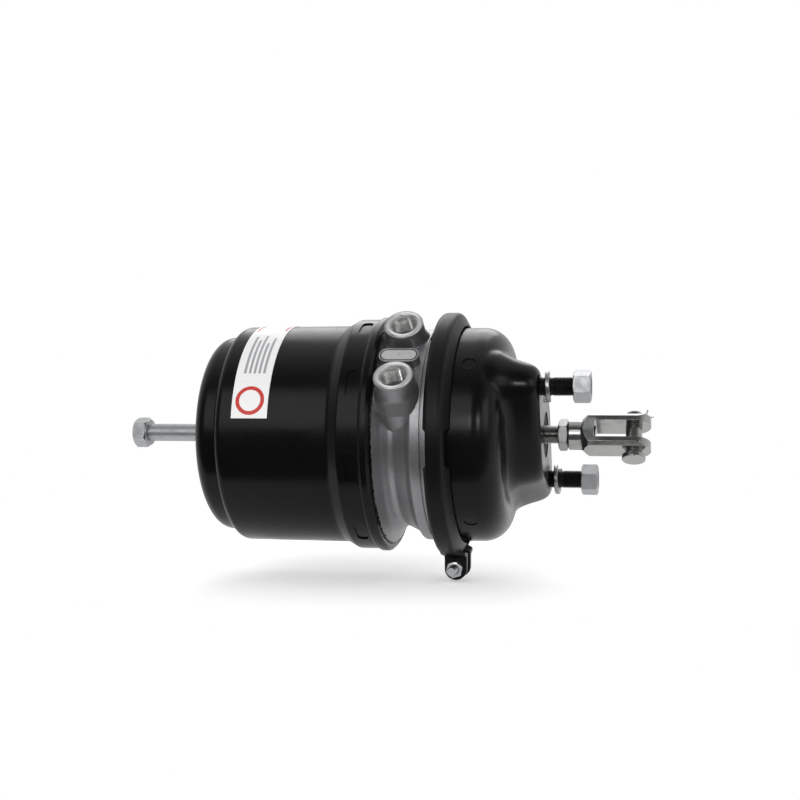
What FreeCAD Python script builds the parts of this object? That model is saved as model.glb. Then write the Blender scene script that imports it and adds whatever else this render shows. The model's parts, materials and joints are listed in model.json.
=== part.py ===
"""Combined service and spring brake chamber for one wheel of a heavy vehicle.

Units are millimetres. +X runs along the chamber's axis, out of the mounting
face and towards the clevis. +Z is up. The origin is the centre of the flat
mounting face on the nose of the service housing.

The chamber is shown caged: the release bolt is screwed right out and holds
the power spring compressed, and the push rod is fully back.
"""

import FreeCAD
import Part
import math
import os

V = FreeCAD.Vector
AXIS_X = V(1, 0, 0)
ORIGIN = V(0, 0, 0)

# Clearances
running = 0.05
seat = 0.15
loose = 0.3

# Roll of the studs, ports and vents about the axis, from straight up towards -Y
roll_deg = 47.0

# Pressed steel sheet
sheet = 3.0

# Chamfer of a hexagon's corners, as a share of its width across flats
hexagon_chamfer = 0.039

# Service housing
nose_side_room = 32.65
shoulder_x = -29.0
shoulder_radius = 24.0
lip_bend = 4.0
lip_corner = 0.8
nose_root_x = -50.0
nose_waist_radius = 38.0
nose_waist_spread = 0.7
nose_end_radius = 10.5
nose_spread = 18.8
nose_spread_power = 0.45
nose_blend = 14.0
rod_hole_radius = 20.0

# Clamped joint between the flange body and the service housing
joint_x = -82.5
joint_flange = 8.5
diaphragm_bead = 4.5
diaphragm_sheet = 3.0
diaphragm_roll = 8.0
diaphragm_wall = 6.0
diaphragm_bead_step = 4.0
diaphragm_bead_width = 2.0
diaphragm_room = 0.1

# Dust ring in the rod hole
rod_seal_flange = 2.5
rod_seal_sheet = 2.2
rod_seal_inset = 0.8
rod_seal_bevel = 3.0

# Mounting studs, their nuts and lock washers
stud_circle = 120.7
stud_radius = 8.0
stud_core_radius = 7.75
stud_reach = 42.0
stud_head_inset = 1.5
stud_head_height = 5.0
stud_step_gap = 1.0
nut_flats = 24.0
nut_height = 14.5
washer_bore_radius = 8.25
washer_width = 5.0
washer_height = 3.5
washer_lead = 3.4
washer_gap = 2.4
washer_corner = 0.5
washer_turn_share = 0.955
upper_washer_roll = 0.0
lower_washer_roll = 150.0
upper_nut_roll = 8.0
lower_nut_roll = -6.0

# Vent plugs
vent_roll_deg = 49.6
vent_x = -56.0
vent_radius = 5.5
vent_lip = 1.6
vent_lip_height = 1.4
vent_recess = 0.8
vent_count = 4

# Clamp band
band_sheet = 3.0
band_room = 2.0
band_left_x = -88.0
band_right_x = -74.0
band_left_lean_deg = 80.0
band_right_lean_deg = 62.5
band_left_depth = 11.5
band_right_depth = 11.3
band_corner = 1.6
relief_top_z = 6.5
relief_bottom_z = -25.0
relief_left_inset = 2.0
relief_right_stand = 2.5
relief_corner = 3.0
lug_gap = 12.0
lug_sheet = 6.0
lug_left_inset = 1.0
lug_right_stand = 6.4
lug_drop = 20.1
lug_wide_y = 20.0
lug_narrow_y = 33.0
clamp_bolt_offset = 3.6
clamp_bolt_drop = 10.5
clamp_bolt_radius = 4.0
clamp_bolt_end = 33.0
clamp_nut_flats = 13.0
clamp_nut_height = 6.8
clamp_head_height = 5.3
clamp_nut_roll = 12.0

# Flange body casting
body_waist_x = -120.5
body_waist_depth = 13.4
body_shelf_depth = 6.9
body_shelf_x = -107.0
body_neck_depth = 0.4
body_neck_x = -102.0
body_neck_bend = 2.5
body_groove_x = -93.0
body_groove_width = 1.4
body_groove_depth = 1.0
body_bend = 5.0
body_rim_shoulder_x = -136.8
body_rim_step = 0.5
body_cone_x = -128.0
body_cone_depth = 9.7
body_cone_bend = 9.0
body_spigot_x = -170.0
cup_corner = 6.0
cup_wall = 11.0
dish_edge = 1.5
dish_slope = 8.0
dish_wall_depth = 6.4
dish_floor_depth = 20.4
dish_bend = 8.0
partition_left_x = -122.0
partition_right_x = -104.0
hub_radius = 25.0
hub_left_x = -166.0
body_wall = 5.0
body_edge = 1.0
plug_start_gap = 1.5
tube_hole_gap = 0.5

# Guide bush and lip seal of the piston tube, in the flange body
guide_bush_wall = 3.0
guide_bush_length = 26.0
tube_seal_wall = 5.0
tube_seal_length = 8.0
tube_seal_back = 3.0
tube_seal_lip = 1.5

# O-ring between the flange body and the spring cylinder
o_ring_wire_radius = 1.45
o_ring_groove_depth = 2.9
o_ring_groove_width = 4.6
o_ring_inset = 5.0

# Air ports and the pad between them
port_x = -114.0
port_offset = 30.0
port_face = 105.0
port_boss_radius = 16.5
port_boss_draft_deg = 4.0
port_thread_radius = 10.25
port_thread_depth = 17.0
port_mouth_chamfer = 1.2
port_passage_radius = 4.5
port_passage_length = 24.0
port_boss_root = 22.0
port_flare_depth = 12.0
port_flare = 5.0
port_flare_bend = 12.0
pad_face = 101.0
pad_length = 34.0
pad_width = 15.5
pad_centre = -2.0
pad_root = 15.0

# Spring cylinder
cylinder_radius = 96.0
rim_rise = 5.4
rim_start_x = -161.0
rim_taper = 10.0
rim_bend = 4.0
bead_x = -143.0
bead_rise = 1.8
bead_corner = 1.2
bead_slope = 2.0
crimp_reach = 1.4
crimp_cone = 2.8
cylinder_step_x = -270.0
cylinder_step_depth = 9.0
cylinder_end_length = 22.0
cylinder_end_bend = 12.0
cylinder_step_bend = 6.5
cylinder_step_corner = 2.0
cylinder_rim_bend = 8.0
stake_count = 9
stake_first_deg = 25.6
stake_x = -150.2
stake_width = 9.5
stake_length = 25.0
stake_depth = 1.3
stake_groove_margin = 0.8

# Release bolt and its bush
bolt_radius = 8.0
bolt_flats = 24.0
bolt_head_height = 13.5
bolt_head_roll = 10.0
bolt_travel = 69.6
bolt_washer_height = 1.2
bolt_head_gap = 3.0
bolt_end_stand = 1.5
bush_radius = 15.0
bush_length = 13.0
bush_stand = 1.5
bush_neck_inset = 3.0
bush_shoulder = 1.5
bush_lead_in = 0.8

# Power piston and its tube
piston_back_room = 38.0
piston_plate = 6.0
piston_skirt_back = 13.0
piston_skirt_front = 3.0
piston_gap = 0.6
piston_rim_wall = 9.0
piston_rim_slope = 4.0
piston_plate_slope = 10.0
piston_bend = 3.0
piston_hub_length = 20.0
piston_hub_wall = 8.0
piston_hub_taper = 2.0
piston_bore_gap = 0.6
piston_groove_margin = 1.8
tube_radius = 15.0
tube_bore_radius = 12.5
tube_end_x = -106.0
thrust_cap_height = 4.0
thrust_cap_plug = 7.0
thrust_cap_corner = 1.0
foot_height = 8.0
foot_room = 1.5
foot_corner = 0.8
foot_nut_height = 7.0
lip_seal_width = 5.0
lip_seal_height = 4.0
lip_seal_lip = 1.0
guide_ring_width = 4.5
guide_ring_height = 2.2

# Springs
power_wire = 12.5
power_spring_room = 2.15
power_spring_turns = 3.25
return_wire = 4.4
return_spring_radius = 30.0
return_spring_turns = 4.8

# Push rod and its plate
plate_x = -94.6
plate_sheet = 3.0
plate_radius = 60.0
plate_edge = 2.0
plate_hub_height = 5.0
plate_hub_width = 6.0
plate_hub_top_width = 2.0
rod_radius = 8.0
rod_end_x = 36.0
jam_nut_x = 11.3
jam_nut_height = 8.0
jam_nut_flats = 24.0
jam_nut_roll = 3.0

# Clevis, its pin and the split pin
clevis_roll_deg = -27.0
clevis_start_x = 20.0
clevis_neck_radius = 13.0
clevis_neck_length = 11.0
clevis_neck_bend = 4.0
clevis_body_x = 39.3
clevis_height = 30.0
clevis_width = 28.0
clevis_corner = 3.0
clevis_slot = 15.5
clevis_slot_x = 41.5
clevis_slot_corner = 2.0
clevis_end_radius = 14.4
pin_x = 75.0
pin_radius = 7.0
pin_drop = 4.4
pin_head_radius = 10.0
pin_head_height = 4.0
pin_end_stand = 3.0
pin_end_corner = 2.2
pin_head_corner = 0.8
split_wire = 1.6
split_hole_radius = 2.0
split_eye_bend = 1.0
split_eye_turn_deg = 50.0
split_straight_leg = 9.5
split_bend = 2.2
split_bend_deg = 75.0
split_bent_leg = 3.5
split_eye_gap = 0.6
split_bend_gap = 1.2

# Sticker on the spring cylinder
label_inset = 16.5
label_length = 31.5
label_start_deg = 8.8
label_end_deg = 118.0
label_sheet = 0.3

# Values that follow from the ones above
housing_radius = stud_circle / 2 + nose_side_room
joint_radius = housing_radius + joint_flange
service_lip_x = joint_x + diaphragm_bead
band_radius = joint_radius + band_room + band_sheet
band_left_foot_radius = band_radius - band_left_depth
band_right_foot_radius = band_radius - band_right_depth
lug_left_x = band_left_x + lug_left_inset
lug_right_x = band_right_x + lug_right_stand
lug_bottom_z = -band_radius - lug_drop
clamp_bolt_x = band_right_x - clamp_bolt_offset
clamp_bolt_z = -band_radius - clamp_bolt_drop
body_waist_radius = housing_radius - body_waist_depth
body_shelf_radius = housing_radius - body_shelf_depth
body_neck_radius = housing_radius - body_neck_depth
cylinder_step_radius = cylinder_radius - cylinder_step_depth
cylinder_end_x = cylinder_step_x - cylinder_end_length
piston_seat_x = cylinder_step_x + piston_back_room
rim_radius = cylinder_radius + rim_rise
bead_radius = rim_radius + bead_rise
bead_right_x = body_rim_shoulder_x + sheet
crimp_radius = rim_radius - sheet - crimp_reach
piston_rim_left_x = piston_seat_x - piston_skirt_back
piston_rim_right_x = piston_seat_x + piston_skirt_front
foot_radius = tube_bore_radius - foot_room
guide_bush_radius = tube_radius + guide_bush_wall
tube_seal_radius = tube_radius + tube_seal_wall
plug_radius = rim_radius - sheet - seat
spigot_radius = cylinder_radius - sheet - seat
piston_radius = cylinder_radius - sheet - piston_gap
power_spring_radius = piston_radius - piston_rim_wall - power_spring_room - power_wire / 2
label_left_x = cylinder_step_x + label_inset
label_right_x = label_left_x + label_length
piston_seal_x = piston_rim_right_x - piston_groove_margin - lip_seal_width
piston_guide_x = piston_rim_left_x + piston_groove_margin
foot_x = piston_seat_x + piston_plate + seat
split_eye_turn = math.radians(split_eye_turn_deg)
split_eye_rise = split_eye_bend * (1 - math.cos(split_eye_turn))
split_eye_radius = (split_wire / 2 + split_eye_rise) / math.cos(split_eye_turn)
split_level = clevis_height / 2 + split_eye_radius + split_wire / 2 + loose


def rounded_wire(corners):
    """Closed outline in the XY plane from (x, y, corner radius) triples."""
    points = [V(x, y, 0) for x, y, radius in corners]
    arcs = {}
    ends = []
    for i, (x, y, radius) in enumerate(corners):
        here = points[i]
        if radius == 0:
            ends.append((here, here))
            continue
        back = (points[i - 1] - here).normalize()
        ahead = (points[(i + 1) % len(points)] - here).normalize()
        half = math.acos(max(-1.0, min(1.0, back.dot(ahead)))) / 2
        reach = radius / math.tan(half)
        start = here + back * reach
        end = here + ahead * reach
        middle = (back + ahead).normalize()
        crown = here + middle * (radius / math.sin(half) - radius)
        arcs[i] = Part.Arc(start, crown, end).toShape()
        ends.append((start, end))
    path = []
    for i in range(len(corners)):
        if i in arcs:
            path.append(arcs[i])
        start = ends[i][1]
        end = ends[(i + 1) % len(corners)][0]
        if start.distanceToPoint(end) > 1e-6:
            path.append(Part.makeLine(start, end))
    return Part.Wire(path)


def turned(corners):
    """Solid turned about the X axis from (x, radius, corner radius) triples."""
    return Part.Face(rounded_wire(corners)).revolve(ORIGIN, AXIS_X, 360)


def ring(x_low, x_high, inner, outer, corner=0.0):
    """Plain or round-edged ring about the X axis."""
    return turned([
        (x_low, inner, 0),
        (x_low, outer, corner),
        (x_high, outer, corner),
        (x_high, inner, 0),
    ])


def disc(x_low, x_high, radius):
    """Cylinder along the X axis."""
    return Part.makeCylinder(radius, x_high - x_low, V(x_low, 0, 0), AXIS_X)


def hexagon(flats, x_low, x_high, roll=0.0):
    """Hexagonal prism along the X axis with chamfered corners."""
    corner = flats / math.sqrt(3)
    points = []
    for i in range(7):
        angle = math.radians(roll + 60 * i)
        points.append(V(x_low, corner * math.sin(angle), corner * math.cos(angle)))
    prism = Part.Face(Part.makePolygon(points)).extrude(V(x_high - x_low, 0, 0))
    chamfer = hexagon_chamfer * flats
    face_radius = flats / 2 - loose
    crown = turned([
        (x_low, 0, 0),
        (x_low, face_radius, 0),
        (x_low + chamfer, corner + running, 0),
        (x_high - chamfer, corner + running, 0),
        (x_high, face_radius, 0),
        (x_high, 0, 0),
    ])
    return prism.common(crown)


def moved(shape, offset):
    """Copy of a shape, moved."""
    copy = shape.copy()
    copy.translate(offset)
    return copy


def rolled(shape, angle_deg):
    """Copy of a shape, turned about the X axis."""
    copy = shape.copy()
    copy.rotate(ORIGIN, AXIS_X, angle_deg)
    return copy


def fused(shapes):
    """One solid from shapes that meet."""
    result = shapes[0].fuse(shapes[1:])
    return result.removeSplitter()


def coil(radius, wire, turns, x_low, x_high):
    """Helical spring between two planes, built half a turn at a time."""
    run = x_high - x_low - wire
    count = math.ceil(2 * turns)
    edges = []
    for i in range(count):
        piece = Part.makeHelix(run / turns, run / count, radius)
        piece.rotate(ORIGIN, V(0, 0, 1), 360 * turns * i / count)
        piece.translate(V(0, 0, run * i / count))
        edges += piece.Edges
    section = Part.Wire(Part.makeCircle(wire / 2, V(radius, 0, 0), V(0, 1, 0)))
    solid = Part.Wire(edges).makePipeShell([section], True, True)
    solid.rotate(ORIGIN, V(0, 1, 0), 90)
    solid.translate(V(x_low + wire / 2, 0, 0))
    return solid


def stud_point(side, x=0.0):
    """Axis point of the upper (+1) or lower (-1) stud."""
    roll = math.radians(roll_deg)
    reach = side * stud_circle / 2
    return V(x, -reach * math.sin(roll), reach * math.cos(roll))


def nose_outline(x, waist, end):
    """Outline of the nose: a round middle and two round ends, joined by tangents."""
    spread = stud_circle / 2
    lean = math.asin((waist - end) / spread)
    low = math.pi / 2 - lean
    corners = []
    for side in (1, -1):
        near = V(x, side * end * math.sin(low), side * (spread + end * math.cos(low)))
        far = V(x, -side * end * math.sin(low), side * (spread + end * math.cos(low)))
        tip = V(x, 0, side * (spread + end))
        root = V(x, side * waist * math.sin(low), side * waist * math.cos(low))
        flank = V(x, side * waist, 0)
        below = V(x, side * waist * math.sin(low), -side * waist * math.cos(low))
        corners.append((far, tip, near, root, flank, below))
    first, second = corners
    edges = [
        Part.Arc(first[0], first[1], first[2]).toShape(),
        Part.makeLine(first[2], first[3]),
        Part.Arc(first[3], first[4], first[5]).toShape(),
        Part.makeLine(first[5], second[0]),
        Part.Arc(second[0], second[1], second[2]).toShape(),
        Part.makeLine(second[2], second[3]),
        Part.Arc(second[3], second[4], second[5]).toShape(),
        Part.makeLine(second[5], first[0]),
    ]
    return Part.Wire(edges)


def nose(inset):
    """Nose of the service housing as a solid, or its hollow when inset by the sheet."""
    sections = []
    for share in (1.0, 0.42, 0.2, 0.08, 0.0):
        x = nose_root_x * share - inset
        spread = nose_spread * share ** nose_spread_power
        waist = nose_waist_radius + nose_waist_spread * spread - inset
        end = nose_end_radius + spread - inset * (0.3 + 0.7 * share)
        sections.append(nose_outline(x, waist, end))
    return rolled(Part.makeLoft(sections, True), roll_deg)


def blended(shape, radius):
    """The edge where the nose leaves the cup, rounded."""
    edges = []
    for edge in shape.Edges:
        box = edge.BoundBox
        at_root = box.XMin > nose_root_x - sheet and box.XMax < shoulder_x + 2 * sheet
        if at_root and edge.Length > nose_end_radius / 2:
            edges.append(edge)
    return shape.makeFillet(radius, edges)


def service_housing():
    """Drawn steel cup with a clamped lip, rod hole, oblong nose and vent holes."""
    lip_x = service_lip_x
    inner = housing_radius - sheet
    outer_form = turned([
        (lip_x, 0, 0),
        (lip_x, joint_radius, lip_corner),
        (lip_x + sheet, joint_radius, lip_corner),
        (lip_x + sheet, housing_radius, lip_bend),
        (shoulder_x, housing_radius, shoulder_radius),
        (shoulder_x, 0, 0),
    ])
    hollow = turned([
        (lip_x - 1, 0, 0),
        (lip_x - 1, inner + sheet / 2, 0),
        (lip_x, inner + sheet / 2, 0),
        (lip_x + sheet / 2, inner, 0),
        (shoulder_x - sheet, inner, shoulder_radius - sheet),
        (shoulder_x - sheet, 0, 0),
    ])
    shape = blended(fused([outer_form, nose(0.0)]), nose_blend)
    shape = shape.cut(blended(fused([hollow, nose(sheet)]), nose_blend + sheet))
    shape = shape.cut(disc(-3 * sheet, sheet, rod_hole_radius))
    for side in (1, -1):
        hole = Part.makeCylinder(stud_core_radius + seat, 6 * sheet, stud_point(side, -3 * sheet), AXIS_X)
        shape = shape.cut(hole)
    for i in range(vent_count):
        shape = shape.cut(vent_cutter(i))
    return shape


def vent_direction(index):
    """Direction of one vent hole, square to the axis."""
    roll = math.radians(vent_roll_deg + index * 360 / vent_count)
    return V(0, -math.sin(roll), math.cos(roll))


def vent_cutter(index):
    """Hole for one vent plug."""
    way = vent_direction(index)
    start = way * (housing_radius - 2 * sheet) + V(vent_x, 0, 0)
    return Part.makeCylinder(vent_radius + seat, 4 * sheet, start, way)


def vent_plugs():
    """Rubber plugs, flush outside and held by a lip on the inner wall."""
    plugs = []
    inner = housing_radius - sheet - vent_recess - vent_lip_height
    for i in range(vent_count):
        way = vent_direction(i)
        start = way * inner + V(vent_x, 0, 0)
        stem = Part.makeCylinder(vent_radius, sheet + vent_lip_height, start, way)
        lip = Part.makeCylinder(vent_radius + vent_lip, vent_lip_height, start, way)
        plugs.append(fused([stem, lip]))
    return Part.makeCompound(plugs)


def rod_seal():
    """Rubber dust ring in the rod hole, with a groove round the hole's edge."""
    inner = rod_radius + loose
    groove = rod_hole_radius - seat
    flange = rod_hole_radius + rod_seal_flange
    return turned([
        (-sheet - rod_seal_sheet, inner, 0),
        (-sheet - rod_seal_sheet, flange, rod_seal_inset),
        (-sheet - seat, flange, 0),
        (-sheet - seat, groove, 0),
        (-rod_seal_inset, groove, loose),
        (-rod_seal_inset, inner + rod_seal_bevel, 0),
        (-rod_seal_sheet, inner, 0),
    ])


def mounting_studs():
    """Two studs with round heads inside the nose."""
    studs = []
    grip = washer_gap + washer_height + washer_lead + stud_step_gap
    nut_start = stud_reach - nut_height
    for side in (1, -1):
        parts = [
            disc(-sheet - stud_head_height, -sheet, nose_end_radius - stud_head_inset),
            disc(-sheet, grip, stud_core_radius),
            disc(grip, nut_start, stud_radius),
            disc(nut_start, stud_reach, stud_core_radius),
        ]
        studs.append(moved(fused(parts), stud_point(side)))
    return Part.makeCompound(studs)


def mounting_nut(side, roll):
    """Nut near the end of one stud, flush with the stud's end."""
    start = stud_reach - nut_height
    nut = hexagon(nut_flats, start, stud_reach, roll)
    nut = nut.cut(disc(start - 1, stud_reach + 1, stud_core_radius + running))
    return moved(nut, stud_point(side))


def lock_washer(side, roll):
    """Split spring washer, hanging on its stud: one turn with its ends sprung apart."""
    radius = washer_bore_radius + washer_width / 2
    wide = washer_width / 2
    high = washer_height / 2
    hang = washer_bore_radius - stud_radius - running
    helix = Part.makeHelix(washer_lead, washer_lead * washer_turn_share, radius)
    corners = []
    for x_side, z_side in ((-1, -1), (1, -1), (1, 1), (-1, 1)):
        on_side = (radius + x_side * wide, z_side * (high - washer_corner))
        on_face = (radius + x_side * (wide - washer_corner), z_side * high)
        corners += [on_side, on_face] if x_side * z_side > 0 else [on_face, on_side]
    points = [V(x, 0, z) for x, z in corners]
    section = Part.makePolygon(points + [points[0]])
    washer = Part.Wire(helix).makePipeShell([section], True, True)
    washer.rotate(ORIGIN, V(0, 1, 0), 90)
    washer = rolled(moved(washer, V(washer_gap + high, 0, 0)), roll)
    return moved(washer, stud_point(side) - V(0, 0, hang))


def band_profile():
    """Section of the clamp band as (x, radius, corner radius) triples."""
    left = math.radians(band_left_lean_deg)
    right = math.radians(band_right_lean_deg)
    left_way = (-math.cos(left), -math.sin(left))
    right_way = (math.cos(right), -math.sin(right))
    left_run = (band_radius - band_left_foot_radius) / math.sin(left)
    right_run = (band_radius - band_right_foot_radius) / math.sin(right)
    left_foot = (band_left_x + left_way[0] * left_run, band_left_foot_radius)
    right_foot = (band_right_x + right_way[0] * right_run, band_right_foot_radius)
    left_inner = (left_foot[0] + band_sheet * math.sin(left), left_foot[1] - band_sheet * math.cos(left))
    right_inner = (right_foot[0] - band_sheet * math.sin(right), right_foot[1] - band_sheet * math.cos(right))
    crown_left = band_left_x + band_sheet * math.tan(left / 2)
    crown_right = band_right_x - band_sheet * math.tan(right / 2)
    inner_radius = band_radius - band_sheet
    return [
        (left_foot[0], left_foot[1], 0),
        (band_left_x, band_radius, band_corner + band_sheet),
        (band_right_x, band_radius, band_corner + band_sheet),
        (right_foot[0], right_foot[1], 0),
        (right_inner[0], right_inner[1], 0),
        (crown_right, inner_radius, band_corner),
        (crown_left, inner_radius, band_corner),
        (left_inner[0], left_inner[1], 0),
    ]


def lug(side):
    """One lug of the clamp band, square to Y, with a round bottom and a bolt hole."""
    y_near = side * lug_gap / 2
    width = lug_right_x - lug_left_x
    middle = (lug_left_x + lug_right_x) / 2
    round_z = lug_bottom_z + width / 2
    top_z = -band_radius + band_sheet / 2
    outline = Part.Wire([
        Part.makeLine(V(lug_left_x, y_near, top_z), V(lug_left_x, y_near, round_z)),
        Part.Arc(
            V(lug_left_x, y_near, round_z),
            V(middle, y_near, lug_bottom_z),
            V(lug_right_x, y_near, round_z),
        ).toShape(),
        Part.makeLine(V(lug_right_x, y_near, round_z), V(lug_right_x, y_near, top_z)),
        Part.makeLine(V(lug_right_x, y_near, top_z), V(lug_left_x, y_near, top_z)),
    ])
    return Part.Face(outline).extrude(V(0, side * lug_sheet, 0))


def lug_bend(side):
    """Curved sheet from the band's crown down into one lug."""
    root = side * (lug_gap / 2 + lug_sheet)
    start_z = clamp_bolt_z + clamp_nut_flats / math.sqrt(3) + loose
    radius = band_sheet / 2 - band_radius - start_z
    centre_y = root + side * radius
    turn = math.sin(math.pi / 4)
    edges = [
        Part.Arc(
            V(lug_left_x, root, start_z),
            V(lug_left_x, centre_y - side * radius * turn, start_z + radius * turn),
            V(lug_left_x, centre_y, start_z + radius),
        ).toShape(),
        Part.makeLine(V(lug_left_x, centre_y, start_z + radius), V(lug_left_x, root - side, start_z + radius)),
        Part.makeLine(V(lug_left_x, root - side, start_z + radius), V(lug_left_x, root - side, start_z)),
        Part.makeLine(V(lug_left_x, root - side, start_z), V(lug_left_x, root, start_z)),
    ]
    return Part.Face(Part.Wire(edges)).extrude(V(lug_right_x - lug_left_x, 0, 0))


def lug_gusset(side):
    """Part of the crown beside one lug, as wide as the lug and narrowing to the strap."""
    top_z = -band_radius - 1
    corners = [
        V(lug_left_x, side * lug_gap / 2, top_z),
        V(lug_right_x, side * lug_gap / 2, top_z),
        V(lug_right_x, side * lug_wide_y, top_z),
        V(band_right_x - band_sheet, side * lug_narrow_y, top_z),
        V(lug_left_x, side * lug_narrow_y, top_z),
    ]
    plan = Part.Face(Part.makePolygon(corners + [corners[0]])).extrude(V(0, 0, lug_narrow_y))
    return plan.common(ring(lug_left_x - 1, lug_right_x + 1, band_radius - band_sheet, band_radius))


def relief_cutter(left_x, y_side, reach):
    """Round-cornered notch in one flank of the band, on the near or the far side."""
    outer = band_radius + band_sheet
    front = outer - reach if y_side > 0 else -outer
    block = Part.makeBox(reach, reach, relief_top_z - relief_bottom_z, V(left_x, front, relief_bottom_z))
    corners = [edge for edge in block.Edges if edge.BoundBox.YLength > 1]
    return block.makeFillet(relief_corner, corners)


def clamp_band():
    """V-section band with flank reliefs on two sides and one lug pair below."""
    band = turned(band_profile())
    depth = band_radius - band_left_foot_radius + 3 * band_sheet
    for left_x in (band_left_x + relief_left_inset - depth, band_right_x + relief_right_stand):
        for y_side in (1, -1):
            band = band.cut(relief_cutter(left_x, y_side, depth))
    gap_start = V(band_left_x - depth, -lug_gap / 2, -band_radius - band_sheet)
    length = band_right_x - band_left_x + 2 * depth
    band = band.cut(Part.makeBox(length, lug_gap, depth + band_sheet, gap_start))
    inside = disc(band_left_x - depth, band_right_x + depth, band_radius - band_sheet)
    pieces = [band]
    for side in (1, -1):
        pieces += [lug(side).cut(inside), lug_bend(side), lug_gusset(side)]
    band = fused(pieces)
    start = V(clamp_bolt_x, -lug_gap / 2 - 2 * lug_sheet, clamp_bolt_z)
    span = lug_gap + 4 * lug_sheet
    return band.cut(Part.makeCylinder(clamp_bolt_radius + loose, span, start, V(0, 1, 0)))


def along_y(shape):
    """Turns a shape made along X so that it points to -Y, at the clamp bolt's axis."""
    copy = shape.copy()
    copy.rotate(ORIGIN, V(0, 0, 1), -90)
    copy.translate(V(clamp_bolt_x, 0, clamp_bolt_z))
    return copy


def clamp_bolt():
    """Hexagon bolt through both lugs, its end towards -Y."""
    head_x = -lug_gap / 2 - lug_sheet - seat
    shank = disc(head_x, clamp_bolt_end, clamp_bolt_radius)
    head = hexagon(clamp_nut_flats, head_x - clamp_head_height, head_x)
    return along_y(fused([shank, head]))


def clamp_nut():
    """Nut of the clamp bolt, on the lug that faces -Y."""
    start = lug_gap / 2 + lug_sheet + seat
    nut = hexagon(clamp_nut_flats, start, start + clamp_nut_height, clamp_nut_roll)
    return along_y(nut.cut(disc(start - 1, start + clamp_nut_height + 1, clamp_bolt_radius + running)))


def port_frame(offset, depth):
    """Point on a port's axis, at a distance along the port direction."""
    roll = math.radians(roll_deg)
    out = V(0, -math.sin(roll), math.cos(roll))
    side = V(0, math.cos(roll), math.sin(roll))
    return out * depth + side * offset + V(port_x, 0, 0), out


def port_boss(offset):
    """Tapered boss of one port, flared at its root."""
    root = body_waist_radius - port_boss_root
    height = port_face - root
    flare_end = body_waist_radius + port_flare_depth - root
    draft = math.tan(math.radians(port_boss_draft_deg))
    knee = port_boss_radius + (height - flare_end) * draft
    boss = turned([
        (0, 0, 0),
        (0, knee + port_flare, 0),
        (port_boss_root, knee + port_flare, 0),
        (flare_end, knee, port_flare_bend),
        (height, port_boss_radius, 0),
        (height, 0, 0),
    ])
    boss.rotate(ORIGIN, V(0, 1, 0), -90)
    boss = rolled(moved(boss, V(0, offset, root)), roll_deg)
    return moved(boss, V(port_x, 0, 0))


def port_cutter(offset, way):
    """Threaded port, its drilled end and the passage to one chamber."""
    depth = port_face - port_thread_depth
    start, out = port_frame(offset, depth)
    thread = Part.makeCylinder(port_thread_radius, port_thread_depth + 1, start, out)
    mouth, out = port_frame(offset, port_face - port_mouth_chamfer)
    chamfer = Part.makeCone(port_thread_radius, port_thread_radius + 2 * port_mouth_chamfer,
                            2 * port_mouth_chamfer, mouth, out)
    deep = depth - port_thread_radius
    drill_start, out = port_frame(offset, deep)
    drill = Part.makeCylinder(port_passage_radius, port_thread_radius + 1, drill_start, out)
    cross_start, out = port_frame(offset, deep + port_passage_radius)
    cross = Part.makeCylinder(port_passage_radius, port_passage_length, cross_start, V(way, 0, 0))
    return fused([thread, chamfer, drill, cross])


def pad_column():
    """Oblong machined pad between the ports."""
    half = pad_length / 2 - pad_width / 2
    radius = pad_width / 2
    root = body_waist_radius - pad_root
    outline = Part.Wire([
        Part.makeLine(V(-half, pad_centre - radius, root), V(half, pad_centre - radius, root)),
        Part.Arc(
            V(half, pad_centre - radius, root),
            V(half + radius, pad_centre, root),
            V(half, pad_centre + radius, root),
        ).toShape(),
        Part.makeLine(V(half, pad_centre + radius, root), V(-half, pad_centre + radius, root)),
        Part.Arc(
            V(-half, pad_centre + radius, root),
            V(-half - radius, pad_centre, root),
            V(-half, pad_centre - radius, root),
        ).toShape(),
    ])
    column = Part.Face(outline).extrude(V(0, 0, pad_face - root))
    return moved(rolled(column, roll_deg), V(port_x, 0, 0))


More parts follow.
